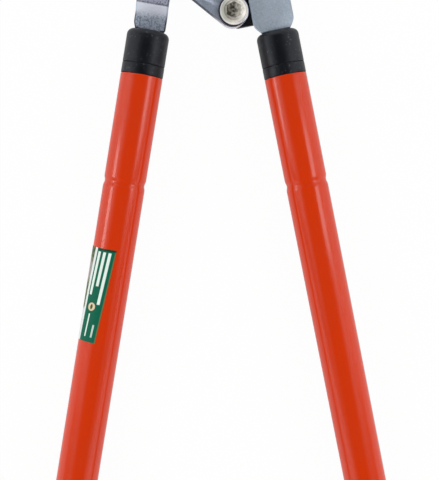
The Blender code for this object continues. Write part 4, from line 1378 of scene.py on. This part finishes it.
def make_hood():
    """A black card above the camera that fades out to its sides, seen only in reflections.
    The glossy tubes mirror it as a deep band between soft lights."""
    card = bpy.data.materials.new("hood_card")
    tree = bare_tree(card)
    x, y, _ = axes(tree, made(tree, "ShaderNodeTexCoord", output="Object"))
    middle = faded(x, *HOOD_LEFT) * faded(x, *HOOD_RIGHT) * faded(y, *HOOD_FAR)
    veil = (1 - faded(y, *HOOD_NEAR)) * settings().studio.near_veil
    opacity = middle.step("MAXIMUM", veil) * faded(y, *HOOD_END)
    clear = made(tree, "ShaderNodeBsdfTransparent")
    black = made(tree, "ShaderNodeEmission", {"Color": (0, 0, 0), "Strength": 0.0})
    mixed = made(tree, "ShaderNodeMixShader", {0: opacity, 1: clear, 2: black})
    add(tree, "ShaderNodeOutputMaterial", {"Surface": mixed})
    hood = prism("hood", rectangle(HOOD_HALF, HOOD_HALF), HOOD_HEIGHT, HOOD_HEIGHT + 0.0001)
    hood.visible_camera = False
    hood.visible_diffuse = False
    hood.visible_shadow = False
    hood.visible_transmission = False
    painted(hood, card)


def make_panel(name, centre, aim, width, depth, brightness, mirrored):
    """A soft rectangular light. Where it isn't mirrored, only matt surfaces take its light."""
    centre = Vector(centre)
    back = (centre - Vector(aim)).normalized()
    lamp = bpy.data.lights.new(name, "AREA")
    lamp.shape = "RECTANGLE"
    lamp.size = width
    lamp.size_y = depth
    lamp.energy = brightness * pi * width * depth
    panel = new_object(name, lamp)
    panel.matrix_world = look_from(Vector((0, 1, 0)).cross(back).normalized(), back)
    panel.location = centre
    panel.visible_camera = False
    panel.visible_glossy = mirrored
    return panel


def make_lights():
    """A soft panel on each side for matt surfaces, and two strips for the reflections alone."""
    studio = settings().studio
    for side, x in (("left", -0.80), ("right", 0.80)):
        make_panel(f"{side}_panel", (x, -0.10, 0.50), (0, -0.05, 0), 0.8, 1.6, studio.panel_light, False)
    for name, centre, width, depth, brightness in (
        ("left_strip", (-0.283, 0.080, 0.143), 0.070, 0.10, studio.strip_light),
        ("right_strip", (0.343, 0.090, 0.311), 0.150, 0.14, studio.strip_light * 0.62),
    ):
        strip = make_panel(name, centre, (0, centre[1], 0.03), width, depth, brightness, True)
        strip.visible_diffuse = False


def make_world():
    world = bpy.data.worlds.new("white_room")
    bpy.context.scene.world = world
    tree = bare_tree(world)
    room = settings().studio.room_light
    strength = bright_for(tree) * (1 - room) + room
    background = made(tree, "ShaderNodeBackground", {"Color": (1, 1, 1), "Strength": strength})
    add(tree, "ShaderNodeOutputWorld", {"Surface": background})


# Operators and panel


class LopperSettings(bpy.types.PropertyGroup):
    handle: PointerProperty(type=LopperHandleSizes, name="Handle", description="Sizes of the handles")
    head: PointerProperty(type=LopperHeadSizes, name="Head", description="Sizes of the head")
    label: PointerProperty(type=LopperLabelSizes, name="Label", description="Place of the label")
    colours: PointerProperty(type=LopperColours, name="Colours", description="Colours of the finishes")
    studio: PointerProperty(type=LopperStudioSettings, name="Studio", description="Floor and light")


class LOPPER_OT_tubes(bpy.types.Operator):
    """Roll the outer tubes and draw the inner ones"""

    bl_idname = "lopper.tubes"
    bl_label = "Tubes"

    def execute(self, context):
        make_outer_tubes()
        make_inner_tubes()
        return {"FINISHED"}


class LOPPER_OT_caps(bpy.types.Operator):
    """Mould the caps, the guide bushings and the end caps"""

    bl_idname = "lopper.caps"
    bl_label = "Caps and bushings"

    def execute(self, context):
        make_caps()
        make_guide_bushings()
        make_end_caps()
        return {"FINISHED"}


class LOPPER_OT_grips(bpy.types.Operator):
    """Mould the soft grips with their ribs"""

    bl_idname = "lopper.grips"
    bl_label = "Grips"

    def execute(self, context):
        make_grips()
        return {"FINISHED"}


class LOPPER_OT_label(bpy.types.Operator):
    """Stick the plain label on the left tube"""

    bl_idname = "lopper.label"
    bl_label = "Label"

    def execute(self, context):
        make_label()
        return {"FINISHED"}


class LOPPER_OT_plates(bpy.types.Operator):
    """Round and finish the hook, the blade, the lever plate and the lever arm"""

    bl_idname = "lopper.plates"
    bl_label = "Plates and arms"

    def execute(self, context):
        make_plates()
        return {"FINISHED"}


class LOPPER_OT_fasteners(bpy.types.Operator):
    """Turn the bolts, nuts, washers and screws"""

    bl_idname = "lopper.fasteners"
    bl_label = "Fasteners"

    def execute(self, context):
        make_bolts()
        make_nuts()
        make_washers()
        make_lever_screws()
        return {"FINISHED"}


class LOPPER_OT_hidden(bpy.types.Operator):
    """Finish the twist locks and pins inside the handles"""

    bl_idname = "lopper.hidden"
    bl_label = "Locks and pins"

    def execute(self, context):
        finish_hidden_solids()
        return {"FINISHED"}


class LOPPER_OT_studio(bpy.types.Operator):
    """Set up the floor, the lights, the room and the camera"""

    bl_idname = "lopper.studio"
    bl_label = "Studio"

    def execute(self, context):
        bpy.context.scene.view_settings.view_transform = "Standard"
        make_camera()
        make_floor()
        make_hood()
        make_lights()
        make_world()
        return {"FINISHED"}


STEPS = (
    LOPPER_OT_tubes,
    LOPPER_OT_caps,
    LOPPER_OT_grips,
    LOPPER_OT_label,
    LOPPER_OT_plates,
    LOPPER_OT_fasteners,
    LOPPER_OT_hidden,
    LOPPER_OT_studio,
)


class LOPPER_PT_steps(bpy.types.Panel):
    bl_label = "Lopper"
    bl_idname = "LOPPER_PT_steps"
    bl_space_type = "VIEW_3D"
    bl_region_type = "UI"
    bl_category = "Lopper"

    def draw(self, context):
        for step in STEPS:
            self.layout.operator(step.bl_idname)


CLASSES = (
    LopperHandleSizes,
    LopperHeadSizes,
    LopperLabelSizes,
    LopperColours,
    LopperStudioSettings,
    LopperSettings,
    *STEPS,
    LOPPER_PT_steps,
)


def register():
    for one in CLASSES:
        bpy.utils.register_class(one)
    bpy.types.Scene.lopper = PointerProperty(type=LopperSettings)


def unregister():
    del bpy.types.Scene.lopper
    for one in reversed(CLASSES):
        bpy.utils.unregister_class(one)


def main():
    register()
    bpy.ops.lopper.tubes()
    bpy.ops.lopper.caps()
    bpy.ops.lopper.grips()
    bpy.ops.lopper.label()
    bpy.ops.lopper.plates()
    bpy.ops.lopper.fasteners()
    bpy.ops.lopper.hidden()
    bpy.ops.lopper.studio()


if __name__ == "__main__":
    main()
